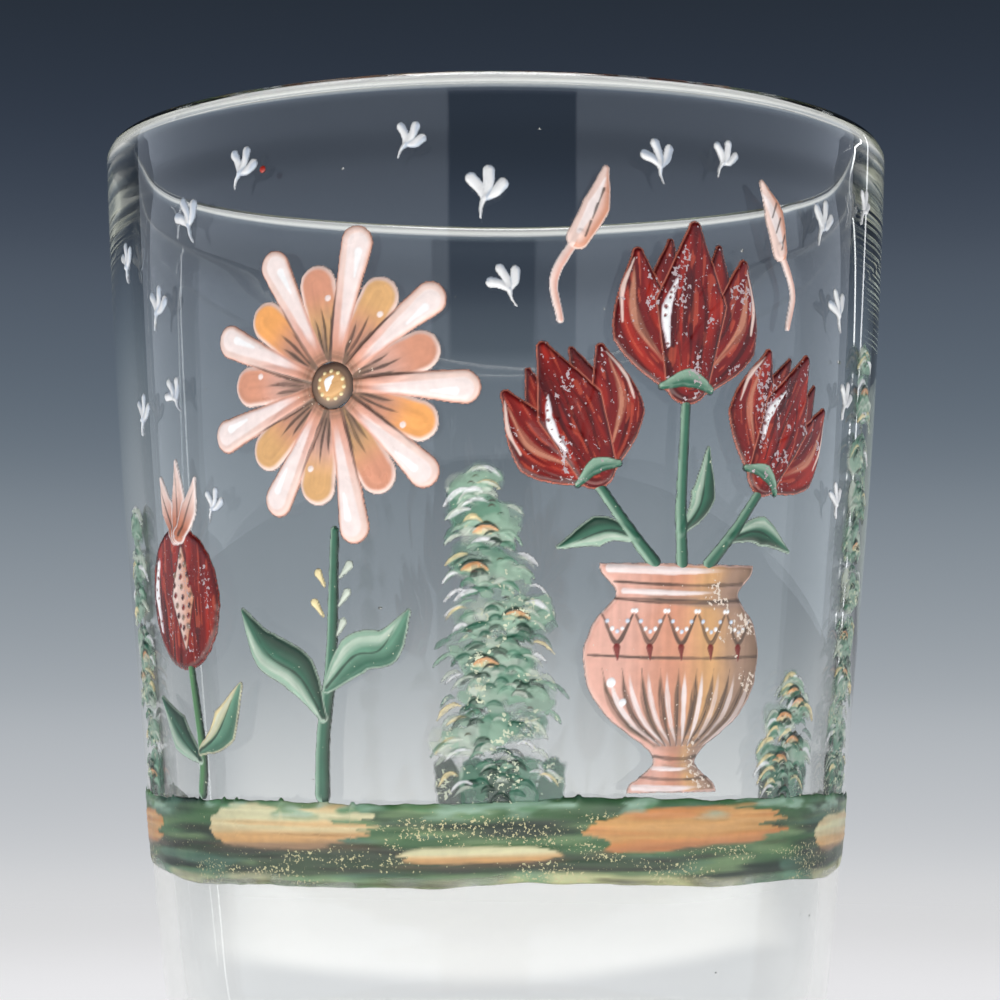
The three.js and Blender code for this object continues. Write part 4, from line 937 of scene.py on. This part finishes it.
def close_ring(R, name, material, node, rows=44, under=5):
    """Rows of vertices between the band's wavy lower and upper edges, all the way round, with a plainer underside."""
    nz, n = R.A.shape
    n -= 1
    z_all = R.Z[:, 0]
    reach = R.cover + BRIM
    tops, lows = np.zeros(n), np.zeros(n)
    for i in range(n):
        on = np.nonzero(reach[:, i] > 0)[0]
        j0, j1 = on[0], on[-1]
        c0, c1 = reach[j0 - 1, i], reach[j0, i]
        lows[i] = z_all[j0 - 1] + (z_all[j0] - z_all[j0 - 1]) * (-c0) / (c1 - c0)
        c0, c1 = reach[j1, i], reach[j1 + 1, i]
        tops[i] = z_all[j1] + (z_all[j1 + 1] - z_all[j1]) * c0 / (c0 - c1)
    lift = lifted(R.cover, R.h)

    def rows_of(v):
        a = np.tile(R.A[0, :n], (len(v), 1))
        z = lows[None] + (tops - lows)[None] * v[:, None]
        jf = (z - z_all[0]) / (z_all[1] - z_all[0])
        j = np.clip(jf.astype(int), 0, nz - 2)
        f = jf - j
        i = np.tile(np.arange(n), (len(v), 1))

        def read(x):
            f_ = f[..., None] if x.ndim == 3 else f
            return x[j, i] * (1 - f_) + x[j + 1, i] * f_
        return a, z, read

    v = np.linspace(0, 1, rows)
    v = v + 0.022 * np.sin(2 * math.pi * v) * -1  # closer rows near both edges
    parts = {"xyz": [], "paint": [], "cover": [], "wear": []}
    for values, above in ((v, True), (np.linspace(0, 1, under), False)):
        a, z, read = rows_of(values)
        h = np.maximum(read(lift), -0.5 * BRIM) if above else np.full(z.shape, -SINK)
        if above:
            h[0], h[-1] = -0.5 * BRIM, -0.5 * BRIM
        r, th = radius(a / REF, z + LIFT) + h, a / REF
        parts["xyz"].append(np.stack([r * np.sin(th), -r * np.cos(th), z + LIFT], -1).reshape(-1, 3))
        parts["paint"].append(read(R.rgb).reshape(-1, 3))
        parts["cover"].append(read(R.al).reshape(-1))
        parts["wear"].append(read(R.wear).reshape(-1))
    at = {key: np.concatenate(value) for key, value in parts.items()}
    m = rows * n
    idx = np.arange(m).reshape(rows, n)
    nxt = np.roll(idx, -1, axis=1)
    lo = m + np.arange(under * n).reshape(under, n)
    lnx = np.roll(lo, -1, axis=1)
    faces, uvs = [], []
    strips = 6
    per = int(math.ceil(n / strips))
    tall = 10.5

    def flat(count, scale, y_base, row_h):
        """flat places of a grid of faces, its columns folded into strips that lie over each other"""
        i = np.tile(np.arange(n), (count, 1))
        j = np.tile(np.arange(count)[:, None], (1, n))
        x0 = (i % per) * R.q * scale
        y0 = y_base + (i // per) * (row_h * count + 0.4) + j * row_h
        x1, y1 = x0 + R.q * scale, y0 + row_h
        return x0, x1, y0, y1

    faces.append(np.stack([idx[:-1], nxt[:-1], nxt[1:], idx[1:]], -1).reshape(-1, 4))
    x0, x1, y0, y1 = flat(rows - 1, 1.0, 0.0, tall / (rows - 1))
    uvs.append(np.stack([np.stack(p, -1) for p in ((x0, y0), (x1, y0), (x1, y1), (x0, y1))], -2).reshape(-1, 2))
    base = strips * (tall + 0.4) + 0.4
    faces.append(np.stack([lo[1:], lnx[1:], lnx[:-1], lo[:-1]], -1).reshape(-1, 4))
    x0, x1, y0, y1 = flat(under - 1, 0.6, base, 0.6)
    uvs.append(np.stack([np.stack(p, -1) for p in ((x0, y1), (x1, y1), (x1, y0), (x0, y0))], -2).reshape(-1, 2))
    base += strips * (0.6 * (under - 1) + 0.4) + 0.4
    for quad in (np.stack([idx[0], lo[0], lnx[0], nxt[0]], -1), np.stack([nxt[-1], lnx[-1], lo[-1], idx[-1]], -1)):
        faces.append(quad)
        x0, x1, y0, y1 = flat(1, 1.0, base, 0.25)
        uvs.append(np.stack([np.stack(p, -1) for p in ((x0, y0), (x0, y1), (x1, y1), (x1, y0))], -2).reshape(-1, 2))
        base += strips * 0.65 + 0.4
    return painted_mesh(name, at["xyz"], np.vstack(faces).tolist(), np.vstack(uvs), at, material, [node])


BLOSSOMS = [
    (-36.5, 91.5, -20, 1.0), (-43.5, 83.0, 15, 0.95), (-40.2, 73.5, -35, 0.85), (-48.5, 72.0, 10, 0.9), (-28.5, 96.0, 25, 0.9), (-51.5, 89.0, -10, 0.9),
    (-1.2, 91.8, 10, 1.05), (1.4, 82.6, -25, 0.9), (-9.2, 97.4, 30, 0.8), (17.2, 95.6, -15, 0.9), (24.6, 96.6, 20, 0.8), (40.2, 91.6, 15, 1.0),
    (44.6, 82.8, -20, 0.95), (47.2, 73.4, 20, 0.85), (46.4, 62.6, -10, 0.8), (50.6, 95.0, 25, 0.85), (-34.6, 61.6, 20, 0.75),
]


def blossoms():
    for i, (a, z, deg, s) in enumerate(BLOSSOMS):
        sh = Sheet(a - 4, a + 4, z - 4, z + 4, q_of(0.09))
        for k, (turn, length, half) in enumerate(((-42, 2.3, 0.66), (42, 2.3, 0.66), (0, 2.7, 0.64), (180, 1.9, 0.5))):
            t = math.radians(deg + turn)
            dx, dz = math.sin(t), math.cos(t)
            pts = [(a, z), (a + dx * length * s / 2 + dz * half * 0.3, z + dz * length * s / 2 - dx * half * 0.3), (a + dx * length * s, z + dz * length * s)]
            if k < 3:  # round heads outward, tails at the middle
                pts = pts[::-1]
                halves = np.array([half * 0.85, half * 0.8, half * 0.42]) * s
            else:
                halves = np.array([half * 0.6, half * 0.4, half * 0.18]) * s
            # each petal white on one side, turning blue-grey on the other as painted shade
            lay(sh, Stroke(sh, pts, halves), lambda g: mixed(WHITE * 0.8, BLUEW * 0.74, smooth(0.0, 0.9, g.k + 1.2 * (noise(g.s * 0.8, g.w * 0.8, i + 50) - 0.5))), thick=0.2, streak=0.12, fine=2.6, seed=i * 4 + k, rise=0.5, wobble=0.08)
        enamel("white_blossom_%02d" % (i + 1), sh, WHITE_ENAMEL, "enamel_white", "enamel_white_blossom_%02d" % (i + 1))


star_flower()
star_stem()
left_fruit()
frond("middle_frond", "enamel_middle_frond", [(0.4, 34.2, 7.4, 2.4), (-0.4, 38.0, 6.9, 2.9), (0.6, 42.2, 7.1, 3.1), (-0.4, 46.6, 6.8, 3.2), (0.4, 51.0, 6.0, 3.2), (-0.8, 55.3, 4.9, 3.1), (-1.4, 59.5, 4.0, 2.9), (-1.8, 63.4, 2.7, 2.6)], 5)
frond("left_frond", "enamel_left_frond", [(-54.5, 34.4, 3.8, 2.4), (-54.0, 38.6, 3.2, 2.7), (-55.0, 43.0, 3.6, 2.9), (-54.2, 47.6, 3.3, 3.0), (-54.9, 52.2, 3.0, 2.9), (-54.2, 56.6, 2.7, 2.8), (-54.0, 60.8, 2.1, 2.6)], 6)
frond("right_frond", "enamel_right_frond", [(53.5, 34.6, 4.6, 2.6), (53.0, 39.0, 3.8, 2.9), (54.2, 43.8, 4.2, 3.1), (53.2, 48.8, 3.8, 3.1), (54.4, 53.8, 4.0, 3.2), (53.4, 58.9, 3.6, 3.2), (54.6, 64.0, 3.8, 3.2), (53.6, 69.0, 3.3, 3.1), (54.6, 73.8, 3.1, 3.0), (54.0, 78.4, 2.4, 2.7)], 7)
frond("right_bush", "enamel_right_bush", [(38.4, 33.8, 4.8, 1.7), (36.6, 36.2, 3.2, 2.3), (40.6, 37.0, 3.4, 2.6), (37.2, 39.6, 2.6, 2.2), (40.8, 41.0, 2.5, 2.2), (39.0, 43.4, 2.0, 1.8)], 8)
urn()
tulip("tulip_left", "enamel_tulip_left", 10.8, 64.6, -26, 1.2, 100)
tulip("tulip_middle", "enamel_tulip_middle", 20.8, 73.6, 2, 1.4, 130)
tulip("tulip_right", "enamel_tulip_right", 31.4, 64.6, 28, 1.25, 160)
small_greens()
blossoms()
close_ring(ground_band(), "ground_band", GROUND_ENAMEL, "enamel_ground_band")


# ------------------------------------------------------------------ the glass
def glass_body():
    segments = 320
    hollow = np.array([[r, 1.2 * (1 - (r / 11.5) ** 2)] for r in np.linspace(0, 11.5, 12)])
    ring = np.array([[r, 0.0] for r in np.linspace(11.5, 33.6, 16)])[1:-1]
    outer = wall
    profile = np.vstack([hollow, ring, outer[:-1], rim[:-1], inside])
    kind = np.concatenate([np.zeros(len(hollow) + len(ring)), np.ones(len(outer) - 1), np.full(len(rim) - 1, 2), np.full(len(inside), 3)])
    n = len(profile)
    th = np.arange(segments) / segments * 2 * math.pi
    r = np.tile(profile[:, :1], (1, segments))
    z = np.tile(profile[:, 1:], (1, segments))
    T = np.tile(th[None], (n, 1))
    o, i_ = uneven(T, z), uneven_inside(T, z)
    fade = smooth(0, 3.0, z)
    r_out = o * fade
    down = smooth(5.0, 24.0, z)
    r_in = i_ * down
    k = kind[:, None]
    u = np.zeros(n)
    on_rim = np.nonzero(kind == 2)[0]
    u[on_rim] = np.linspace(0, 1, len(on_rim))
    move = np.where(k == 1, r_out, 0) + np.where(k == 2, r_out * (1 - u[:, None]) + r_in * u[:, None], 0) + np.where(k == 3, r_in, 0)
    r = np.maximum(r + np.where(profile[:, :1] > 0.01, move, 0), 0)
    # the lip rises and falls a little, as a cracked-off and fire-polished one does
    lip = 0.07 * np.sin(2 * T + 1.2) + 0.05 * np.sin(3 * T - 0.5) + 0.025 * np.sin(7 * T + 2.2)
    lip = lip + 0.2 * np.exp(-(((T - 2.142) / 0.022) ** 2)) - 0.16 * np.exp(-(((T - 2.10) / 0.03) ** 2))
    z = z + (0.8 * lip - 0.11) * smooth(105.0, 109.0, z)
    # the floor of the bowl is a shade uneven
    z = np.where(k == 3, z + 0.12 * np.sin(T * 2 + 0.6) * smooth(9.0, 5.0, z) * smooth(0.0, 10.0, r), z)
    verts, rows = [], []
    for j in range(n):
        if profile[j, 0] < 0.01:
            rows.append([len(verts)] * segments)
            verts.append((0.0, 0.0, float(z[j, 0])))
            continue
        first = len(verts)
        verts.extend(zip((r[j] * np.sin(th)).tolist(), (-r[j] * np.cos(th)).tolist(), z[j].tolist()))
        rows.append(list(range(first, first + segments)))
    faces = []
    for j in range(n - 1):
        a, b = rows[j], rows[j + 1]
        for s in range(segments):
            e = (s + 1) % segments
            if a[s] == a[e]:
                faces.append((a[s], b[e], b[s]))
            elif b[s] == b[e]:
                faces.append((a[s], a[e], b[s]))
            else:
                faces.append((a[s], a[e], b[e], b[s]))
    # seeds: tiny bubbles in the wall, closed and turned inside out
    rng = np.random.default_rng(12)
    places = [(0.62, 94.0, 0.17), (0.70, 98.5, 0.12), (-0.36, 101.5, 0.1), (1.02, 84.0, 0.2), (-0.9, 67.0, 0.13), (0.1, 105.0, 0.1)]
    places += [(rng.uniform(-math.pi, math.pi), rng.uniform(14, 106), rng.uniform(0.05, 0.14)) for _ in range(26)]
    for t, zz, size in places:
        mid = float(np.interp(zz, OUT_Z, OUT_R)) - 1.1 - rng.uniform(-0.25, 0.25)
        base, rings, around = len(verts), 7, 10
        stretch = rng.uniform(1.0, 2.2)
        cx, cy = mid * math.sin(t), -mid * math.cos(t)
        ux, uy = math.cos(t), math.sin(t)
        for a in range(1, rings):
            for b in range(around):
                pa, pb = math.pi * a / rings, 2 * math.pi * b / around
                la, lb, lc = size * math.sin(pa) * math.cos(pb) * stretch, size * math.sin(pa) * math.sin(pb), size * math.cos(pa)
                verts.append((cx + la * ux + lb * uy, cy + la * uy - lb * ux, zz + lc))
        top_, low_ = len(verts), len(verts) + 1
        verts.append((cx, cy, zz + size))
        verts.append((cx, cy, zz - size))
        made = []
        for b in range(around):
            e = (b + 1) % around
            made.append((top_, base + b, base + e))
            made.append((low_, base + (rings - 2) * around + e, base + (rings - 2) * around + b))
            for a in range(rings - 2):
                p = base + a * around
                made.append((p + b, p + around + b, p + around + e, p + e))
        centre = np.array([cx, cy, zz])
        p = np.array([verts[v] for v in made[0]])
        outward = np.dot(np.cross(p[1] - p[0], p[2] - p[0]), p.mean(0) - centre) > 0
        faces.extend([tuple(reversed(f)) for f in made] if outward else made)
    mesh = bpy.data.meshes.new("glass")
    mesh.from_pydata((np.array(verts) * MM).tolist(), [], faces)
    mesh.polygons.foreach_set("use_smooth", np.ones(len(mesh.polygons), bool))
    mesh.update()
    return mesh


def glass_material():
    m, nd, ln = nodes_of("glass_clear")
    out = nd.new("ShaderNodeOutputMaterial")
    bs = nd.new("ShaderNodeBsdfPrincipled")
    ln.new(bs.outputs[0], out.inputs[0])
    bs.inputs["Base Color"].default_value = (0.955, 0.965, 0.962, 1)
    bs.inputs["Transmission Weight"].default_value = 1.0
    bs.inputs["IOR"].default_value = 1.5
    bs.inputs["Roughness"].default_value = 0.0
    # a trace of yellow-green where light runs a long way in the glass
    inside = nd.new("ShaderNodeVolumeAbsorption")
    inside.inputs["Color"].default_value, inside.inputs["Density"].default_value = (0.87, 0.885, 0.76, 1), 20.0
    ln.new(inside.outputs[0], out.inputs["Volume"])
    where = nd.new("ShaderNodeTexCoord")
    # faint draw lines and ripples of the blown wall, finer than the mesh
    ripple = nd.new("ShaderNodeTexNoise"); ripple.inputs["Scale"].default_value = 55.0; ripple.inputs["Detail"].default_value = 1.5
    stretch = nd.new("ShaderNodeMapping"); stretch.inputs["Scale"].default_value = (1.0, 1.0, 0.4)
    ln.new(where.outputs["Object"], stretch.inputs["Vector"]); ln.new(stretch.outputs["Vector"], ripple.inputs["Vector"])
    bp = nd.new("ShaderNodeBump"); bp.inputs["Strength"].default_value = 0.12; bp.inputs["Distance"].default_value = 0.0004
    ln.new(ripple.outputs["Fac"], bp.inputs["Height"]); ln.new(bp.outputs["Normal"], bs.inputs["Normal"])
    # the foot is worn dull where it stands
    split = nd.new("ShaderNodeSeparateXYZ"); ln.new(where.outputs["Object"], split.inputs[0])
    low = nd.new("ShaderNodeMapRange"); low.inputs["From Min"].default_value = 0.00004; low.inputs["From Max"].default_value = 0.0002
    low.inputs["To Min"].default_value = 1.0; low.inputs["To Max"].default_value = 0.0
    ln.new(split.outputs["Z"], low.inputs["Value"])
    scratch = nd.new("ShaderNodeTexNoise"); scratch.inputs["Scale"].default_value = 900.0; scratch.inputs["Detail"].default_value = 3.0
    ln.new(where.outputs["Object"], scratch.inputs["Vector"])
    dull = nd.new("ShaderNodeMath"); dull.operation = "MULTIPLY"
    ln.new(low.outputs["Result"], dull.inputs[0]); ln.new(scratch.outputs["Fac"], dull.inputs[1])
    half = nd.new("ShaderNodeMath"); half.operation = "MULTIPLY"; half.inputs[1].default_value = 0.5
    ln.new(dull.outputs[0], half.inputs[0]); ln.new(half.outputs[0], bs.inputs["Roughness"])
    return m


glass_mesh = glass_body()
glass_mesh.materials.append(glass_material())
glass = bpy.data.objects.new("glass", glass_mesh)
bpy.context.scene.collection.objects.link(glass)
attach(glass, "root")
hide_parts("glass_body")

# ------------------------------------------------------------------ stage: pale floor under a studio sweep that goes dark upward
SWEEP = [(0.0, (238, 238, 237)), (0.0652, (204, 206, 209)), (0.1304, (165, 171, 177)), (0.2174, (115, 125, 135)), (0.313, (70, 79, 92)), (0.4348, (34, 41, 50)), (0.58, (38, 44, 52)), (0.76, (70, 76, 80)), (0.9, (112, 116, 112)), (1.0, (132, 134, 128))]


world = bpy.data.worlds.new("studio")
bpy.context.scene.world = world
world.use_nodes = True
wn, wl = world.node_tree.nodes, world.node_tree.links
wn.clear()
w_out = wn.new("ShaderNodeOutputWorld")
back = wn.new("ShaderNodeBackground")
wl.new(back.outputs[0], w_out.inputs[0])
coord = wn.new("ShaderNodeTexCoord")
xyz_ = wn.new("ShaderNodeSeparateXYZ")
wl.new(coord.outputs["Generated"], xyz_.inputs[0])
sweep_ = wn.new("ShaderNodeMapRange")  # height on the unit sphere to 0..1
sweep_.inputs["From Min"].default_value, sweep_.inputs["From Max"].default_value = -0.12, 0.80
wl.new(xyz_.outputs["Z"], sweep_.inputs["Value"])
tone = wn.new("ShaderNodeValToRGB")
tone.color_ramp.interpolation = "CARDINAL"
while len(tone.color_ramp.elements) > 1:
    tone.color_ramp.elements.remove(tone.color_ramp.elements[-1])
for i, (p, c) in enumerate(SWEEP):
    e = tone.color_ramp.elements[0] if i == 0 else tone.color_ramp.elements.new(p)
    e.position = p
    e.color = (*lin(c), 1)
wl.new(sweep_.outputs["Result"], tone.inputs["Fac"])
wl.new(tone.outputs["Color"], back.inputs["Color"])
under_ = wn.new("ShaderNodeMapRange")  # the room under the table is darker
under_.inputs["From Min"].default_value, under_.inputs["From Max"].default_value = -0.5, -0.19
under_.inputs["To Min"].default_value, under_.inputs["To Max"].default_value = 0.22, 1.0
wl.new(xyz_.outputs["Z"], under_.inputs["Value"])
# and so is the part of it beside and behind the camera
aside_ = wn.new("ShaderNodeMapRange")
aside_.inputs["From Min"].default_value, aside_.inputs["From Max"].default_value = 0.35, 0.8
aside_.inputs["To Min"].default_value, aside_.inputs["To Max"].default_value = 0.3, 1.0
wl.new(xyz_.outputs["Y"], aside_.inputs["Value"])
dimmed_ = wn.new("ShaderNodeMath"); dimmed_.operation = "MULTIPLY"
wl.new(under_.outputs["Result"], dimmed_.inputs[0]); wl.new(aside_.outputs["Result"], dimmed_.inputs[1])
wl.new(dimmed_.outputs[0], back.inputs["Strength"])


# floor: a pale sheet, glowing with painted light, that fades into the sweep
floor_mesh = bpy.data.meshes.new("floor")
fr, fn = 0.6, 96
fv, ff = [(0, 0, 0)], []
for ring_r in (0.1, 0.2, 0.35, fr):
    for s in range(fn):
        t = 2 * math.pi * s / fn
        fv.append((ring_r * math.cos(t), ring_r * math.sin(t), 0))
for s in range(fn):
    ff.append((0, 1 + s, 1 + (s + 1) % fn))
    for k in range(3):
        a, b = 1 + k * fn, 1 + (k + 1) * fn
        ff.append((a + s, b + s, b + (s + 1) % fn, a + (s + 1) % fn))
floor_mesh.from_pydata(fv, [], ff)
floor = bpy.data.objects.new("floor", floor_mesh)
floor.location.z = -0.0001
bpy.context.scene.collection.objects.link(floor)
fm, nd, ln = nodes_of("floor_paper_painted_light")
out = nd.new("ShaderNodeOutputMaterial")
mixs = nd.new("ShaderNodeMixShader")
clear = nd.new("ShaderNodeBsdfTransparent")
dif = nd.new("ShaderNodeBsdfDiffuse"); dif.inputs["Color"].default_value = (0.46, 0.46, 0.46, 1)
lit = nd.new("ShaderNodeEmission")
both = nd.new("ShaderNodeAddShader")
tc = nd.new("ShaderNodeTexCoord")


def ranged(value, lo, hi, out_lo, out_hi):
    n = nd.new("ShaderNodeMapRange"); n.interpolation_type = "SMOOTHSTEP"
    n.inputs["From Min"].default_value, n.inputs["From Max"].default_value = lo, hi
    n.inputs["To Min"].default_value, n.inputs["To Max"].default_value = out_lo, out_hi
    ln.new(value, n.inputs["Value"])
    return n.outputs["Result"]


def away_from(x, y):
    move, long = nd.new("ShaderNodeVectorMath"), nd.new("ShaderNodeVectorMath")
    move.operation, long.operation = "SUBTRACT", "LENGTH"
    move.inputs[1].default_value = (x, y, 0)
    ln.new(tc.outputs["Object"], move.inputs[0]); ln.new(move.outputs["Vector"], long.inputs[0])
    return long.outputs["Value"]


def times(a, b):
    n = nd.new("ShaderNodeMath"); n.operation = "MULTIPLY"
    ln.new(a, n.inputs[0]); ln.new(b, n.inputs[1])
    return n.outputs[0]


def plain(kind, value, number):
    n = nd.new("ShaderNodeMath"); n.operation = kind; n.inputs[1].default_value = number
    ln.new(value, n.inputs[0])
    return n.outputs[0]


# the paper glows by emission as painted light: painted dim shade just before the foot, a painted pool of bright light
# farther forward beyond a rounded edge, even behind
middle = away_from(0, 0)
parts_ = nd.new("ShaderNodeSeparateXYZ"); ln.new(tc.outputs["Object"], parts_.inputs[0])
join_, far_ = nd.new("ShaderNodeCombineXYZ"), nd.new("ShaderNodeVectorMath"); far_.operation = "LENGTH"
ln.new(plain("SUBTRACT", parts_.outputs["X"], 0.003), join_.inputs[0])
ln.new(plain("MINIMUM", plain("SUBTRACT", parts_.outputs["Y"], 0.032), 0.0), join_.inputs[1])
ln.new(join_.outputs[0], far_.inputs[0])
painted_light_pool = times(ranged(far_.outputs["Value"], 0.122, 0.135, 0.0, 1.0), ranged(parts_.outputs["Y"], 0.05, -0.07, 0.0, 1.0))
painted_floor_light = nd.new("ShaderNodeMix"); painted_floor_light.data_type = "RGBA"; painted_floor_light.clamp_factor = True
painted_floor_light.inputs["B"].default_value = (3.35, 3.25, 3.05, 1)
floor_glow_and_shade = nd.new("ShaderNodeMix"); floor_glow_and_shade.data_type = "RGBA"; floor_glow_and_shade.clamp_factor = True
floor_glow_and_shade.inputs["A"].default_value, floor_glow_and_shade.inputs["B"].default_value = (0.19, 0.212, 0.275, 1), (0.53, 0.525, 0.54, 1)
ln.new(ranged(parts_.outputs["Y"], -0.05, 0.02, 0.0, 1.0), floor_glow_and_shade.inputs["Factor"]); ln.new(floor_glow_and_shade.outputs["Result"], painted_floor_light.inputs["A"])
ln.new(painted_light_pool, painted_floor_light.inputs["Factor"]); ln.new(painted_floor_light.outputs["Result"], lit.inputs["Color"])
ln.new(ranged(middle, 0.13, 0.30, 1.0, 0.76), lit.inputs["Strength"])
fade_ = ranged(middle, 0.12, 0.50, 1.0, 0.0)
ln.new(dif.outputs[0], both.inputs[0]); ln.new(lit.outputs[0], both.inputs[1])
ln.new(fade_, mixs.inputs[0]); ln.new(clear.outputs[0], mixs.inputs[1]); ln.new(both.outputs[0], mixs.inputs[2]); ln.new(mixs.outputs[0], out.inputs[0])
floor_mesh.materials.append(fm)


def softbox(name, place, target, wide, tall, radiance, mirrored=True):
    """an area lamp that faces its target; radiance is its face's brightness"""
    data = bpy.data.lights.new(name, "AREA")
    data.shape, data.size, data.size_y = "RECTANGLE", wide, tall
    data.energy = radiance * wide * tall * math.pi
    lamp = bpy.data.objects.new(name, data)
    lamp.location = place
    lamp.rotation_euler = (Vector(target) - Vector(place)).to_track_quat("-Z", "Y").to_euler()
    bpy.context.scene.collection.objects.link(lamp)
    lamp.visible_camera = False
    lamp.visible_glossy = lamp.visible_transmission = mirrored
    return lamp


def screen(name, az0, az1, reach, tall, low, high, soft_deg=1.2):
    """a lit paper screen standing round the front of the glass from one azimuth to another"""
    steps, rows = 48, 8
    verts, faces = [], []
    for j in range(rows + 1):
        for i in range(steps + 1):
            t = math.radians(az0 + (az1 - az0) * i / steps)
            verts.append((reach * math.sin(t), -reach * math.cos(t), 0.002 + tall * j / rows))
    for j in range(rows):
        for i in range(steps):
            k = j * (steps + 1) + i
            faces.append((k, k + 1, k + steps + 2, k + steps + 1))
    mesh = bpy.data.meshes.new(name)
    mesh.from_pydata(verts, [], faces)
    uv = mesh.uv_layers.new(name="UVMap")
    for loop in mesh.loops:
        j, i = divmod(loop.vertex_index, steps + 1)
        uv.uv[loop.index].vector = (i / steps, j / rows)
    obj = bpy.data.objects.new(name, mesh)
    bpy.context.scene.collection.objects.link(obj)
    m, nd, ln = nodes_of(name + "_paper")
    out = nd.new("ShaderNodeOutputMaterial")
    glow = nd.new("ShaderNodeEmission")
    clear = nd.new("ShaderNodeBsdfTransparent")
    mix = nd.new("ShaderNodeMixShader")
    where = nd.new("ShaderNodeTexCoord")
    part = nd.new("ShaderNodeSeparateXYZ")
    ln.new(where.outputs["UV"], part.inputs[0])
    tone = nd.new("ShaderNodeMix"); tone.data_type = "RGBA"
    tone.inputs["A"].default_value, tone.inputs["B"].default_value = (*low, 1), (*high, 1)
    ln.new(part.outputs["Y"], tone.inputs["Factor"])
    ln.new(tone.outputs["Result"], glow.inputs["Color"])
    edge = nd.new("ShaderNodeMapRange"); edge.interpolation_type = "SMOOTHSTEP"
    edge.inputs["From Min"].default_value, edge.inputs["From Max"].default_value = 0.0, soft_deg / abs(az1 - az0)
    ln.new(part.outputs["X"], edge.inputs["Value"])
    lip = nd.new("ShaderNodeMapRange"); lip.interpolation_type = "SMOOTHSTEP"
    lip.inputs["From Min"].default_value, lip.inputs["From Max"].default_value = 1.0, 0.8
    ln.new(part.outputs["Y"], lip.inputs["Value"])
    both = nd.new("ShaderNodeMath"); both.operation = "MULTIPLY"
    ln.new(edge.outputs["Result"], both.inputs[0]); ln.new(lip.outputs["Result"], both.inputs[1])
    ln.new(both.outputs[0], mix.inputs[0]); ln.new(clear.outputs[0], mix.inputs[1]); ln.new(glow.outputs[0], mix.inputs[2]); ln.new(mix.outputs[0], out.inputs[0])
    mesh.materials.append(m)
    obj.visible_camera = False
    return obj


# lit screens to the left and right of the camera with a gap between them, and a soft light overhead
screen("screen_left", -12.5, -124.0, 1.0, 0.46, (0.72, 0.78, 0.84), (0.50, 0.56, 0.70))
screen("screen_right", 21.7, 124.0, 1.0, 0.46, (0.72, 0.78, 0.84), (0.50, 0.56, 0.70))
screen("screen_front", -16.0, 25.0, 1.02, 0.085, (0.72, 0.78, 0.84), (0.62, 0.68, 0.76))
screen("strip_right", 134.9, 136.3, 1.0, 0.46, (3.4, 3.45, 3.5), (2.6, 2.7, 2.8), 0.3)
softbox("softbox_top", (0, 0.1, 1.0), (0, 0.1, 0), 0.42, 0.42, 9.0)
softbox("softbox_front", (-0.25, -0.8, 0.5), (0, 0, 0.07), 0.5, 0.5, 2.0, mirrored=False)

scene = bpy.context.scene
scene.view_settings.view_transform = "Standard"
scene.view_settings.look = "None"
scene.view_settings.exposure = 0.0
scene.view_settings.gamma = 1.0
scene.cycles.max_bounces = 48
scene.cycles.transmission_bounces = 24
scene.cycles.glossy_bounces = 32
scene.cycles.diffuse_bounces = 3
scene.cycles.transparent_max_bounces = 24
scene.cycles.sample_clamp_indirect = 6.0
scene.cycles.blur_glossy = 0.4
scene.cycles.use_denoising = True
